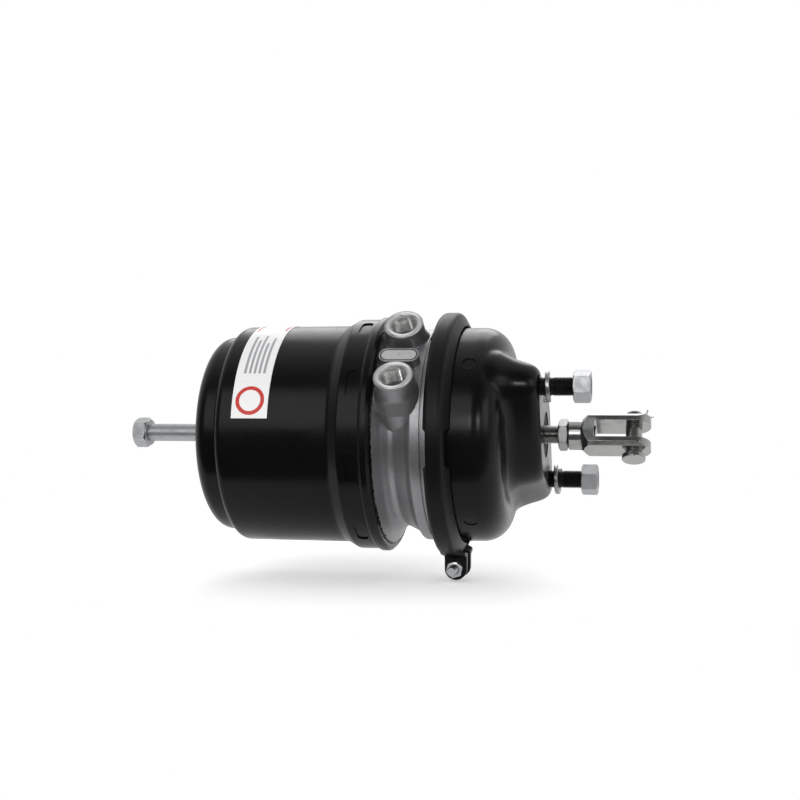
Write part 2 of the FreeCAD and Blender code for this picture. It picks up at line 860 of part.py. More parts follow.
def flange_body():
    """Cast body: plug in the cylinder rim, partition with hub, dish and clamped lip."""
    left = math.radians(band_left_lean_deg)
    slope = 1 / math.tan(left)
    band_inner_x = band_left_x + band_sheet / math.sin(left) - slope * (band_radius - joint_radius)
    lip_outer_x = band_inner_x + 2 * seat
    neck_x = lip_outer_x - slope * (joint_radius - body_neck_radius)
    rim_radius_inside = crimp_radius - loose
    outer_form = turned([
        (body_spigot_x, 0, 0),
        (body_spigot_x, spigot_radius, body_edge),
        (rim_start_x + plug_start_gap, spigot_radius, 0),
        (rim_start_x + plug_start_gap, plug_radius, body_edge),
        (body_rim_shoulder_x, plug_radius, body_edge),
        (body_rim_shoulder_x, rim_radius_inside, 0),
        (bead_right_x + body_rim_step, rim_radius_inside, body_rim_step),
        (body_cone_x, rim_radius_inside - body_cone_depth, body_cone_bend),
        (body_waist_x, body_waist_radius, body_bend),
        (body_shelf_x, body_shelf_radius, body_bend),
        (body_neck_x, body_neck_radius, body_neck_bend),
        (neck_x, body_neck_radius, body_edge),
        (lip_outer_x, joint_radius, body_edge / 2),
        (joint_x, joint_radius, body_edge / 2),
        (joint_x, 0, 0),
    ])
    cup_radius = spigot_radius - body_wall
    cup = turned([
        (body_spigot_x - 1, hub_radius, 0),
        (body_spigot_x - 1, cup_radius, 0),
        (body_rim_shoulder_x - cup_corner, cup_radius, cup_corner),
        (partition_left_x, body_waist_radius - cup_wall, cup_corner),
        (partition_left_x, hub_radius + sheet, cup_corner),
        (hub_left_x, hub_radius, 0),
    ])
    cup_mouth = disc(body_spigot_x - 1, hub_left_x, hub_radius + running)
    dish = turned([
        (joint_x + 1, 0, 0),
        (joint_x + 1, body_neck_radius - dish_edge, 0),
        (joint_x, body_neck_radius - dish_edge, body_edge / 2),
        (joint_x - dish_slope, housing_radius - dish_wall_depth, dish_bend),
        (partition_right_x, housing_radius - dish_floor_depth, dish_bend),
        (partition_right_x, 0, 0),
    ])
    shape = fused([outer_form] + [port_boss(side * port_offset) for side in (1, -1)] + [pad_column()])
    left_foot_x = band_profile()[0][0]
    clear_radius = port_face + rim_radius
    shape = shape.cut(ring(body_rim_shoulder_x, bead_right_x + loose, rim_radius_inside, clear_radius))
    shape = shape.cut(ring(left_foot_x - loose, joint_x + 1, joint_radius, clear_radius))
    shape = shape.cut(ring(left_foot_x - loose, neck_x, body_neck_radius, clear_radius))
    groove_left = body_groove_x - body_groove_width / 2
    groove_floor = body_neck_radius - body_groove_depth
    shape = shape.cut(ring(groove_left, groove_left + body_groove_width, groove_floor, clear_radius))
    shape = shape.cut(cup).cut(cup_mouth).cut(dish)
    for side in (1, -1):
        shape = shape.cut(port_cutter(side * port_offset, side))
    shape = shape.cut(disc(body_spigot_x - 1, joint_x + 1, tube_radius + tube_hole_gap))
    shape = shape.cut(disc(hub_left_x - 1, hub_left_x + guide_bush_length, guide_bush_radius))
    shape = shape.cut(disc(partition_right_x - tube_seal_length, partition_right_x + 1, tube_seal_radius))
    return shape.cut(stake_groove()).cut(o_ring_groove())


def stake_groove():
    """Groove in the plug that the stamped stakes of the rim reach into."""
    depth = stake_depth + loose
    width = stake_width / 2 + stake_groove_margin
    return ring(stake_x - width, stake_x + width, plug_radius - depth, plug_radius + 1)


def o_ring_groove():
    """Groove in the spigot for the O-ring."""
    left = body_spigot_x + o_ring_inset - o_ring_groove_width / 2
    return ring(left, left + o_ring_groove_width, spigot_radius - o_ring_groove_depth, spigot_radius + 1)


def flange_o_ring():
    """O-ring between the flange body and the cylinder wall."""
    centre = spigot_radius - o_ring_groove_depth + o_ring_wire_radius + running
    return Part.makeTorus(centre, o_ring_wire_radius, V(body_spigot_x + o_ring_inset, 0, 0), AXIS_X)


def tube_guide_bush():
    """Plain bush that guides the piston tube."""
    right = hub_left_x + guide_bush_length - seat
    return ring(hub_left_x, right, tube_radius + running, guide_bush_radius - running)


def tube_lip_seal():
    """Rubber lip seal of the piston tube, in the partition."""
    left = partition_right_x - tube_seal_length + seat
    right = partition_right_x - tube_hole_gap
    outer = tube_seal_radius - running
    inner = tube_radius + loose
    return turned([
        (left, inner, 0),
        (left, outer, 0),
        (right, outer, 0),
        (right, outer - tube_seal_lip, 0),
        (left + tube_seal_back, (inner + outer) / 2, 0),
        (right, inner + tube_seal_lip, 0),
        (right, inner, 0),
    ])


def spring_housing():
    """Drawn steel cylinder with a stepped end, wide rim and stamped stakes."""
    end = cylinder_end_x
    plug = rim_radius - sheet
    outer_form = turned([
        (end, 0, 0),
        (end, cylinder_step_radius, cylinder_end_bend),
        (cylinder_step_x, cylinder_step_radius, cylinder_step_corner),
        (cylinder_step_x, cylinder_radius, cylinder_step_bend),
        (rim_start_x - rim_taper, cylinder_radius, cylinder_rim_bend),
        (rim_start_x, rim_radius, rim_bend),
        (bead_x, rim_radius, bead_corner),
        (bead_x + bead_slope, bead_radius, bead_corner),
        (bead_right_x - crimp_cone, bead_radius, bead_corner),
        (bead_right_x, bead_radius - crimp_cone, bead_corner),
        (bead_right_x, 0, 0),
    ])
    inner_end = end + sheet
    hollow = turned([
        (inner_end, 0, 0),
        (inner_end, cylinder_step_radius - sheet, cylinder_end_bend - sheet),
        (cylinder_step_x + sheet, cylinder_step_radius - sheet, cylinder_step_corner),
        (cylinder_step_x + sheet, cylinder_radius - sheet, rim_bend),
        (rim_start_x - rim_taper + sheet / 3, cylinder_radius - sheet, sheet),
        (rim_start_x + sheet / 3, plug, 0),
        (body_rim_shoulder_x + seat, plug, 0),
        (body_rim_shoulder_x + seat, crimp_radius, 0),
        (bead_right_x + 1, crimp_radius, 0),
        (bead_right_x + 1, 0, 0),
    ])
    shape = outer_form.cut(hollow)
    pocket_outer = ring(stake_x - stake_width, stake_x + stake_width, rim_radius - stake_depth, bead_radius)
    tab_outer = ring(stake_x - stake_width, stake_x + stake_width, plug - stake_depth, plug + seat)
    columns = [stake_column(i) for i in range(stake_count)]
    pockets = [pocket_outer.common(column) for column in columns]
    tabs = [tab_outer.common(column) for column in columns]
    shape = shape.cut(pockets)
    shape = fused([shape] + tabs)
    return shape.cut(disc(end - 1, inner_end + 1, bush_radius - bush_neck_inset + running))


def stake_column(index):
    """Oblong column through the rim where one stake is stamped."""
    angle = stake_first_deg + index * 360 / stake_count
    radius = stake_width / 2
    half = stake_length / 2 - radius
    height = 4 * sheet
    foot = rim_radius - height / 2
    block = Part.makeBox(2 * radius, 2 * half, height, V(-radius, -half, foot))
    ends = [Part.makeCylinder(radius, height, V(0, side * half, foot)) for side in (1, -1)]
    column = fused([block] + ends)
    column.rotate(ORIGIN, AXIS_X, 90 - angle)
    return moved(column, V(stake_x, 0, 0))


def release_bush():
    """Threaded bush in the end wall, shouldered against its inner face."""
    inner_x = cylinder_end_x + sheet + running
    bore = bolt_radius + running
    neck = bush_radius - bush_neck_inset
    return turned([
        (cylinder_end_x - bush_stand, bore + bush_lead_in, 0),
        (cylinder_end_x - bush_stand, neck, bush_lead_in),
        (inner_x, neck, 0),
        (inner_x, bush_radius + bush_shoulder, bush_lead_in),
        (inner_x + bush_length, bush_radius, bush_lead_in),
        (inner_x + bush_length, bore, 0),
        (cylinder_end_x - bush_stand + bush_lead_in, bore, 0),
    ])


def release_bolt():
    """Hexagon bolt with a washer face, screwed right out."""
    bush_face = cylinder_end_x - bush_stand
    head_face = bush_face - bolt_travel - bolt_head_gap
    end_x = foot_x + foot_height + foot_nut_height + bolt_end_stand
    shank = disc(head_face, end_x, bolt_radius)
    washer_face = disc(head_face - bolt_washer_height, head_face, bolt_flats / 2 - loose)
    head = hexagon(bolt_flats, head_face - bolt_head_height, head_face - bolt_washer_height, bolt_head_roll)
    return fused([shank, washer_face, head])


def release_bolt_foot():
    """Thrust foot that bears on the piston's inner shoulder."""
    return turned([
        (foot_x, bolt_radius + running, 0),
        (foot_x, foot_radius, foot_corner),
        (foot_x + foot_height, foot_radius, foot_corner),
        (foot_x + foot_height, bolt_radius + running, 0),
    ])


def foot_lock_nut():
    """Round lock nut behind the foot."""
    start = foot_x + foot_height + running
    outer = foot_radius - loose
    return ring(start, start + foot_nut_height, bolt_radius + running, outer, foot_corner)


def power_piston():
    """Cast piston: hub with an inner shoulder, plate, rim with two grooves."""
    rim = piston_radius
    rim_inner = rim - piston_rim_wall
    plate_right = piston_seat_x + piston_plate
    hub = tube_radius + piston_hub_wall
    shape = turned([
        (piston_seat_x, bolt_radius + piston_bore_gap, 0),
        (piston_seat_x, rim_inner, piston_bend / 2),
        (piston_rim_left_x, rim_inner, 0),
        (piston_rim_left_x, rim, piston_bend / 3),
        (piston_rim_right_x, rim, piston_bend / 3),
        (piston_rim_right_x, rim_inner - piston_rim_slope, piston_bend),
        (plate_right, rim_inner - piston_plate_slope, piston_bend),
        (plate_right, hub, piston_bend),
        (plate_right + piston_hub_length, hub - piston_hub_taper, piston_bend / 2),
        (plate_right + piston_hub_length, tube_radius + running, 0),
        (plate_right, tube_radius + running, 0),
        (plate_right, bolt_radius + piston_bore_gap, 0),
    ])
    seal_right = piston_seal_x + lip_seal_width + seat
    guide_right = piston_guide_x + guide_ring_width + seat
    shape = shape.cut(ring(piston_seal_x - seat, seal_right, rim - lip_seal_height, rim + 1))
    return shape.cut(ring(piston_guide_x - seat, guide_right, rim - guide_ring_height, rim + 1))


def piston_lip_seal():
    """Rubber lip seal in the piston's groove, its lip towards the air."""
    bore = cylinder_radius - sheet
    floor = piston_radius - lip_seal_height + running
    right = piston_seal_x + lip_seal_width
    return turned([
        (piston_seal_x, floor, 0),
        (piston_seal_x, piston_radius, 0),
        (right, bore - seat, 0),
        (right, bore - seat - lip_seal_lip, 0),
        (piston_seal_x + 2 * lip_seal_lip, (bore + floor) / 2, 0),
        (right, floor + lip_seal_lip, 0),
        (right, floor, 0),
    ])


def piston_guide_ring():
    """Plastic guide ring in the piston's other groove."""
    outer = cylinder_radius - sheet - seat
    floor = piston_radius - guide_ring_height + running
    return ring(piston_guide_x, piston_guide_x + guide_ring_width, floor, outer, loose)


def piston_tube():
    """Tube of the piston, from the hub's socket through the flange body."""
    start = piston_seat_x + piston_plate + running
    return ring(start, tube_end_x, tube_bore_radius, tube_radius)


def tube_thrust_cap():
    """Cap plugged into the tube's end, which pushes the diaphragm."""
    right = tube_end_x + running + thrust_cap_height
    return turned([
        (tube_end_x - thrust_cap_plug, 0, 0),
        (tube_end_x - thrust_cap_plug, tube_bore_radius - running, thrust_cap_corner),
        (tube_end_x + running, tube_bore_radius - running, 0),
        (tube_end_x + running, tube_radius - loose, 0),
        (right, tube_radius - loose, thrust_cap_corner),
        (right, 0, 0),
    ])


def power_spring():
    """Power spring, compressed between the end wall and the piston."""
    start = cylinder_end_x + sheet + seat
    return coil(power_spring_radius, power_wire, power_spring_turns, start, piston_seat_x - seat)


def diaphragm():
    """Rubber diaphragm: clamped bead, rolled wall and flat centre behind the plate."""
    left = joint_x + diaphragm_room
    right = service_lip_x - diaphragm_room
    flat_right = plate_x - seat
    flat_left = flat_right - diaphragm_sheet
    wall_inner = plate_radius + diaphragm_roll
    bead_inner = body_neck_radius - diaphragm_bead_width
    bead_outer = joint_radius - plate_edge / 2
    return turned([
        (flat_left, 0, 0),
        (flat_left, wall_inner + diaphragm_wall, diaphragm_sheet),
        (left, bead_inner - diaphragm_bead_step, plate_edge),
        (left, bead_outer, plate_edge / 2),
        (right, bead_outer, plate_edge / 2),
        (right, bead_inner, plate_edge / 4),
        (joint_x + diaphragm_sheet, bead_inner - diaphragm_bead_step, plate_edge),
        (flat_right, wall_inner + plate_edge, diaphragm_sheet),
        (flat_right, 0, 0),
    ])


def push_plate():
    """Pressed plate that the diaphragm pushes, with a turned edge."""
    right = plate_x + plate_sheet
    return turned([
        (plate_x, 0, 0),
        (plate_x, plate_radius, plate_sheet + 0.75 * plate_edge),
        (right + plate_edge, plate_radius, 0),
        (right + plate_edge, plate_radius - plate_sheet, 0),
        (right, plate_radius - plate_sheet, 0.75 * plate_edge),
        (right, rod_radius + plate_hub_width, 0),
        (right + plate_hub_height, rod_radius + plate_hub_top_width, 0),
        (right + plate_hub_height, 0, 0),
    ])


def push_rod():
    """Threaded rod from the plate to the clevis."""
    start = plate_x + plate_sheet + plate_hub_height + running
    return disc(start, rod_end_x, rod_radius)


def return_spring():
    """Return spring between the push plate and the inside of the nose."""
    start = plate_x + plate_sheet + seat
    end = -sheet - seat
    return coil(return_spring_radius, return_wire, return_spring_turns, start, end)


def jam_nut():
    """Thin nut that locks the clevis on the rod."""
    end = jam_nut_x + jam_nut_height
    nut = hexagon(jam_nut_flats, jam_nut_x, end, jam_nut_roll)
    return nut.cut(disc(jam_nut_x - 1, end + 1, rod_radius + running))


def clevis():
    """Fork turned down from square bar, with a round neck and round ears."""
    half_height = clevis_height / 2
    half_width = clevis_width / 2
    chamfer = clevis_corner
    outline = []
    for y_side, z_side in ((1, 1), (-1, 1), (-1, -1), (1, -1)):
        first = V(0, y_side * half_width, z_side * (half_height - chamfer))
        second = V(0, y_side * (half_width - chamfer), z_side * half_height)
        outline += [first, second] if y_side * z_side > 0 else [second, first]
    outline.append(outline[0])
    length = pin_x + clevis_end_radius - clevis_start_x
    prism = Part.Face(Part.makePolygon(outline)).extrude(V(length, 0, 0))
    prism.translate(V(clevis_start_x, 0, 0))
    corner = math.hypot(half_height, half_width)
    neck_end = clevis_start_x + clevis_neck_length
    envelope = turned([
        (clevis_start_x, 0, 0),
        (clevis_start_x, clevis_neck_radius, clevis_corner / 3),
        (neck_end, clevis_neck_radius, clevis_neck_bend),
        (clevis_body_x, corner, 0),
        (clevis_start_x + length, corner, 0),
        (clevis_start_x + length, 0, 0),
    ])
    neck = disc(clevis_start_x, neck_end, clevis_neck_radius)
    body = prism.common(envelope)
    body = fused([body, neck.common(envelope)])
    ear_form = Part.makeCylinder(clevis_end_radius, 2 * clevis_height, V(pin_x, 0, -clevis_height))
    block = Part.makeBox(pin_x - clevis_start_x + 1, 4 * clevis_width, 2 * clevis_height,
                         V(clevis_start_x - 1, -2 * clevis_width, -clevis_height))
    body = body.common(fused([ear_form, block]))
    slot = Part.makeBox(length, 2 * clevis_width, clevis_slot,
                        V(clevis_slot_x, -clevis_width, -clevis_slot / 2))
    slot = slot.makeFillet(clevis_slot_corner, [e for e in slot.Edges if slot_floor_edge(e)])
    body = body.cut(slot)
    body = body.cut(disc(clevis_start_x - 1, clevis_slot_x + 1, rod_radius + running))
    hole = Part.makeCylinder(pin_radius + running, 2 * clevis_height, V(pin_x, 0, -clevis_height))
    return rolled(body.cut(hole), clevis_roll_deg)


def slot_floor_edge(edge):
    """True for the two long edges at the floor of the clevis slot."""
    box = edge.BoundBox
    return box.XLength < 0.01 and box.ZLength < 0.01 and abs(box.XMin - clevis_slot_x) < 0.01


def clevis_pin():
    """Headed pin with a cross hole, hanging on its split pin."""
    head_top = -clevis_height / 2 - pin_drop
    end = split_level + pin_end_stand
    shank = Part.makeCylinder(pin_radius, end - head_top, V(pin_x, 0, head_top))
    head = Part.makeCylinder(pin_head_radius, pin_head_height, V(pin_x, 0, head_top - pin_head_height))
    tip = shank.makeFillet(pin_end_corner, [e for e in shank.Edges if e.BoundBox.ZMin > end - 0.1])
    rim = [e for e in head.Edges if e.BoundBox.ZMax < head_top - pin_head_height + 0.1]
    pin = fused([tip, head.makeFillet(pin_head_corner, rim)])
    hole = Part.makeCylinder(split_hole_radius, 4 * pin_radius, V(pin_x - 2 * pin_radius, 0, split_level), AXIS_X)
    return rolled(pin.cut(hole), clevis_roll_deg)


def cotter_pin():
    """Split pin: one bent wire with an eye, one straight leg and one turned up."""
    wire = split_wire / 2
    level = split_level
    upper = level + wire
    lower = level - wire
    half_turn = split_eye_turn / 2
    eye_x = pin_x - pin_radius - split_eye_gap
    neck_x = eye_x - split_eye_bend * math.sin(split_eye_turn)
    neck = wire + split_eye_rise
    middle_x = eye_x - split_eye_bend * math.sin(half_turn)
    middle = wire + split_eye_bend * (1 - math.cos(half_turn))
    loop_x = neck_x - split_eye_radius * (1 + math.sin(split_eye_turn))
    tip_x = pin_x + pin_radius + split_straight_leg
    bend_x = pin_x + pin_radius + split_bend_gap
    arc = math.radians(split_bend_deg)
    crown_x = bend_x + split_bend * math.sin(arc / 2)
    crown = upper + split_bend * (1 - math.cos(arc / 2))
    rise_x = bend_x + split_bend * math.sin(arc)
    rise = upper + split_bend * (1 - math.cos(arc))
    path = [
        Part.makeLine(V(tip_x, 0, lower), V(eye_x, 0, lower)),
        Part.Arc(V(eye_x, 0, lower), V(middle_x, 0, level - middle), V(neck_x, 0, level - neck)).toShape(),
        Part.Arc(V(neck_x, 0, level - neck), V(loop_x, 0, level), V(neck_x, 0, level + neck)).toShape(),
        Part.Arc(V(neck_x, 0, level + neck), V(middle_x, 0, level + middle), V(eye_x, 0, upper)).toShape(),
        Part.makeLine(V(eye_x, 0, upper), V(bend_x, 0, upper)),
        Part.Arc(V(bend_x, 0, upper), V(crown_x, 0, crown), V(rise_x, 0, rise)).toShape(),
        Part.makeLine(
            V(rise_x, 0, rise),
            V(rise_x + split_bent_leg * math.cos(arc), 0, rise + split_bent_leg * math.sin(arc)),
        ),
    ]
    section = Part.Wire(Part.makeCircle(wire - 0.02, V(tip_x, 0, lower), V(-1, 0, 0)))
    pin = Part.Wire(path).makePipeShell([section], True, True)
    return rolled(pin, clevis_roll_deg)


def label():
    """Thin sticker on the spring cylinder."""
    inner = cylinder_radius + seat
    sweep = label_end_deg - label_start_deg
    profile = Part.makePolygon([
        V(label_left_x, -inner, 0),
        V(label_right_x, -inner, 0),
        V(label_right_x, -inner - label_sheet, 0),
        V(label_left_x, -inner - label_sheet, 0),
        V(label_left_x, -inner, 0),
    ])
    sticker = Part.Face(profile).revolve(ORIGIN, AXIS_X, -sweep)
    return rolled(sticker, -label_start_deg)


PIECES = {
    "spring_housing": spring_housing,
    "release_bush": release_bush,
    "release_bolt": release_bolt,
    "release_bolt_foot": release_bolt_foot,
    "foot_lock_nut": foot_lock_nut,
    "power_spring": power_spring,
    "power_piston": power_piston,
    "piston_tube": piston_tube,
    "tube_thrust_cap": tube_thrust_cap,
    "piston_lip_seal": piston_lip_seal,
    "piston_guide_ring": piston_guide_ring,
    "flange_body": flange_body,
    "flange_o_ring": flange_o_ring,
    "tube_lip_seal": tube_lip_seal,
    "tube_guide_bush": tube_guide_bush,
    "diaphragm": diaphragm,
    "push_plate": push_plate,
    "push_rod": push_rod,
    "return_spring": return_spring,
    "service_housing": service_housing,
    "rod_seal": rod_seal,
    "vent_plugs": vent_plugs,
    "clamp_band": clamp_band,
    "clamp_bolt": clamp_bolt,
    "clamp_nut": clamp_nut,
    "mounting_studs": mounting_studs,
    "mounting_nut_upper": lambda: mounting_nut(1, upper_nut_roll),
    "mounting_nut_lower": lambda: mounting_nut(-1, lower_nut_roll),
    "lock_washer_upper": lambda: lock_washer(1, upper_washer_roll),
    "lock_washer_lower": lambda: lock_washer(-1, lower_washer_roll),
    "jam_nut": jam_nut,
    "clevis": clevis,
    "clevis_pin": clevis_pin,
    "cotter_pin": cotter_pin,
    "label": label,
}

os.makedirs("parts", exist_ok=True)
for name, build in PIECES.items():
    shape = build()
    solids = shape.Solids
    volume = sum(solid.Volume for solid in solids)
    box = shape.BoundBox
    print(
        f"{name}: {len(solids)} solid(s), valid {shape.isValid()}, {volume:.0f} mm3,"
        f" x {box.XMin:.1f}..{box.XMax:.1f}, y {box.YMin:.1f}..{box.YMax:.1f}, z {box.ZMin:.1f}..{box.ZMax:.1f}"
    )
    result = solids[0] if len(solids) == 1 else Part.makeCompound(solids)
    result.exportStep(f"parts/{name}.step")
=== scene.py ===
"""Looks of a combined service and spring brake chamber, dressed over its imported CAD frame.

Sizes in the classes are millimetres and are turned into metres where meshes are made.
+X runs along the chamber's axis towards the clevis, and +Z is up.
"""

import json
import logging
import math
import random
from abc import ABC, abstractmethod
from dataclasses import dataclass
from enum import Enum
from typing import Any, Iterable, Sequence

import bmesh
import bpy
from mathutils import Matrix, Vector

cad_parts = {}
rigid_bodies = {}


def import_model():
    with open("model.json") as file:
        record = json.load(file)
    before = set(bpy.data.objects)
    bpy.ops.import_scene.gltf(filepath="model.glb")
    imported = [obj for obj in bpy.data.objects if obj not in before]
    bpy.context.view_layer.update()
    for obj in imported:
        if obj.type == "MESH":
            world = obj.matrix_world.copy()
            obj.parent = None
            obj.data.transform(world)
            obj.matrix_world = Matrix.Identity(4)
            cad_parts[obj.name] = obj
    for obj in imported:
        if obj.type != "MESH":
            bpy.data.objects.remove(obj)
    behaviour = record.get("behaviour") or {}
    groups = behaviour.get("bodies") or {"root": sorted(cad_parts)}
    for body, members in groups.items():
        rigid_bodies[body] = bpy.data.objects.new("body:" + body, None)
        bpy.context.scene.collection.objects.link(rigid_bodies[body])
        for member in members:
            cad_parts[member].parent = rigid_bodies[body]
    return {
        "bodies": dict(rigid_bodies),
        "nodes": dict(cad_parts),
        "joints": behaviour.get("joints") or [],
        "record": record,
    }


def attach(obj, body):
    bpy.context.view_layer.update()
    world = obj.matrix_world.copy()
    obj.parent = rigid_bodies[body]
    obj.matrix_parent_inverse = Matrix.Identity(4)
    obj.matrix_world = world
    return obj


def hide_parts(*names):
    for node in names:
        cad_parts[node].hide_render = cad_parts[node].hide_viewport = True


MM = 0.001
LOG = logging.getLogger("scene")

Colour = tuple[float, float, float]
Point = tuple[float, float]
Shape = tuple[list[Vector], list[tuple[int, ...]]]


class Body(Enum):
    """Bodies of the frame that pieces ride on."""

    CHAMBER = "chamber"
    RELEASE_SCREW = "release_screw"
    PUSH_ROD = "push_rod_group"
    UPPER_NUT = "upper_nut_group"
    LOWER_NUT = "lower_nut_group"


class ThreadSide(Enum):
    """Which side of the thread's surface is open to view."""

    OUTSIDE = 1
    INSIDE = -1


def rolled(roll_deg: float) -> Matrix:
    """Rotation about the chamber's axis.

    Args:
        roll_deg: angle from +Z towards -Y, in degrees.

    Returns:
        A 4x4 rotation matrix.
    """
    return Matrix.Rotation(math.radians(roll_deg), 4, "X")


class Graph:
    """Adds and links the nodes of one material."""

    def __init__(self, name: str) -> None:
        """Starts a material with one Principled shader.

        Args:
            name: the material's name.
        """
        self.material = bpy.data.materials.new(name)
        self.material.use_nodes = True
        self.tree = self.material.node_tree
        self.tree.nodes.clear()
        output = self.tree.nodes.new("ShaderNodeOutputMaterial")
        self.shader = self.tree.nodes.new("ShaderNodeBsdfPrincipled")
        self.link(self.shader.outputs["BSDF"], output.inputs["Surface"])
        self.place = self.tree.nodes.new("ShaderNodeTexCoord").outputs["Object"]

    def link(self, source: bpy.types.NodeSocket, target: bpy.types.NodeSocket) -> None:
        """Links one socket to another.

        Args:
            source: an output socket.
            target: an input socket.
        """
        self.tree.links.new(source, target)

    def feed(self, socket: bpy.types.NodeSocket, value: object) -> None:
        """Sets a socket from a value or links it from another socket.

        Args:
            socket: the input socket.
            value: a number, a colour, a vector or an output socket.
        """
        if isinstance(value, bpy.types.NodeSocket):
            self.link(value, socket)
        elif isinstance(value, tuple) and len(value) == 3 and socket.type == "RGBA":
            socket.default_value = (*value, 1.0)
        else:
            socket.default_value = value

    def noise(self, scale: float, detail: float = 4.0, roughness: float = 0.55,
              stretch: Colour = (1.0, 1.0, 1.0)) -> bpy.types.NodeSocket:
        """Noise over the object's own coordinates.

        Args:
            scale: features per metre.
            detail: octaves.
            roughness: strength of the finer octaves.
            stretch: factor on each axis.

        Returns:
            The noise factor.
        """
        mapping = self.tree.nodes.new("ShaderNodeMapping")
        mapping.inputs["Scale"].default_value = stretch
        self.link(self.place, mapping.inputs["Vector"])
        node = self.tree.nodes.new("ShaderNodeTexNoise")
        node.inputs["Scale"].default_value = scale
        node.inputs["Detail"].default_value = detail
        node.inputs["Roughness"].default_value = roughness
        self.link(mapping.outputs["Vector"], node.inputs["Vector"])
        return node.outputs["Fac"]

    def cells(self, scale: float) -> bpy.types.NodeSocket:
        """Distance to the nearest cell point.

        Args:
            scale: cells per metre.

        Returns:
            The distance.
        """
        node = self.tree.nodes.new("ShaderNodeTexVoronoi")
        node.inputs["Scale"].default_value = scale
        self.link(self.place, node.inputs["Vector"])
        return node.outputs["Distance"]

    def math(self, operation: str, first: object, second: object = 0.0,
             clamp: bool = False) -> bpy.types.NodeSocket:
        """One maths node.

        Args:
            operation: the node's operation.
            first: value or socket.
            second: value or socket.
            clamp: keeps the result between 0 and 1.

        Returns:
            The result.
        """
        node = self.tree.nodes.new("ShaderNodeMath")
        node.operation = operation
        node.use_clamp = clamp
        self.feed(node.inputs[0], first)
        self.feed(node.inputs[1], second)
        return node.outputs[0]

    def spread(self, value: bpy.types.NodeSocket, low: float, high: float,
               to_low: float, to_high: float) -> bpy.types.NodeSocket:
        """Maps a range on to another.

        Args:
            value: the input.
            low: start of the input's range.
            high: end of the input's range.
            to_low: result at low.
            to_high: result at high.

        Returns:
            The mapped value.
        """
        node = self.tree.nodes.new("ShaderNodeMapRange")
        for key, number in (("From Min", low), ("From Max", high), ("To Min", to_low), ("To Max", to_high)):
            node.inputs[key].default_value = number
        self.link(value, node.inputs["Value"])
        return node.outputs["Result"]

    def blend(self, factor: object, first: object, second: object) -> bpy.types.NodeSocket:
        """Mixes two colours.

        Args:
            factor: share of the second colour.
            first: colour or socket.
            second: colour or socket.

        Returns:
            The mixed colour.
        """
        node = self.tree.nodes.new("ShaderNodeMix")
        node.data_type = "RGBA"
        self.feed(node.inputs["Factor"], factor)
        self.feed(node.inputs[6], first)
        self.feed(node.inputs[7], second)
        return node.outputs[2]

    def rounding(self, radius_mm: float) -> bpy.types.NodeSocket:
        """Normal with its edges rounded off.

        Args:
            radius_mm: rounding radius in millimetres.

        Returns:
            The normal.
        """
        node = self.tree.nodes.new("ShaderNodeBevel")
        node.samples = 6
        node.inputs["Radius"].default_value = radius_mm * MM
        return node.outputs["Normal"]

    def bump(self, height: bpy.types.NodeSocket, depth_mm: float,
             normal: bpy.types.NodeSocket | None = None, strength: float = 1.0) -> bpy.types.NodeSocket:
        """Surface relief from a height.

        Args:
            height: height between 0 and 1.
            depth_mm: height of 1 in millimetres.
            normal: normal to start from.
            strength: strength of the relief.

        Returns:
            The normal.
        """
        node = self.tree.nodes.new("ShaderNodeBump")
        node.inputs["Strength"].default_value = strength
        node.inputs["Distance"].default_value = depth_mm * MM
        self.link(height, node.inputs["Height"])
        if normal is not None:
            self.link(normal, node.inputs["Normal"])
        return node.outputs["Normal"]

    def set(self, **values: object) -> None:
        """Sets the shader's sockets, with underscores for spaces.

        Args:
            values: socket name to value or socket.
        """
        for key, value in values.items():
            self.feed(self.shader.inputs[key.replace("_", " ")], value)


@dataclass(frozen=True)
class Finish(ABC):
    """A procedural surface, made once and shared by the pieces that have it."""

    name: str
    colour: Colour

    @property
    def title(self) -> str:
        """Name of the finish's own material, apart from the frame's plain ones."""
        return f"{self.name}_finish"

    def material(self) -> bpy.types.Material:
        """The finish as a material, made on its first use.

        Returns:
            The material.
        """
        found = bpy.data.materials.get(self.title)
        return found or self.build()

    @abstractmethod
    def build(self) -> bpy.types.Material:
        """Makes the material.

        Returns:
            The material.
        """


@dataclass(frozen=True)
class BlackPaint(Finish):
    """Semi-gloss black coating on drawn steel, with fine orange peel and rubbed edges."""

    roughness: float = 0.3
    peel_mm: float = 0.02
    dust: float = 0.5
    gloss: float = 0.11

    def build(self) -> bpy.types.Material:
        """Makes the material.

        Returns:
            The material.
        """
        graph = Graph(self.title)
        cloud = graph.noise(24.0, 6.0)
        fine = graph.noise(900.0, 3.0)
        peel = graph.noise(420.0, 2.0)
        tone = graph.math("MULTIPLY", cloud, self.dust)
        pale = tuple(c * 2.2 + 0.001 for c in self.colour)
        rough = graph.spread(cloud, 0.3, 0.7, self.roughness - 0.04, self.roughness + 0.07)
        rough = graph.math("ADD", rough, graph.spread(fine, 0.3, 0.7, -0.03, 0.03), clamp=True)
        graph.set(Base_Color=graph.blend(tone, self.colour, pale), Roughness=rough,
                  Specular_IOR_Level=self.gloss)
        normal = graph.bump(peel, self.peel_mm, graph.rounding(0.5), 0.5)
        graph.set(Normal=graph.bump(fine, self.peel_mm / 4, normal, 0.4))
        return graph.material


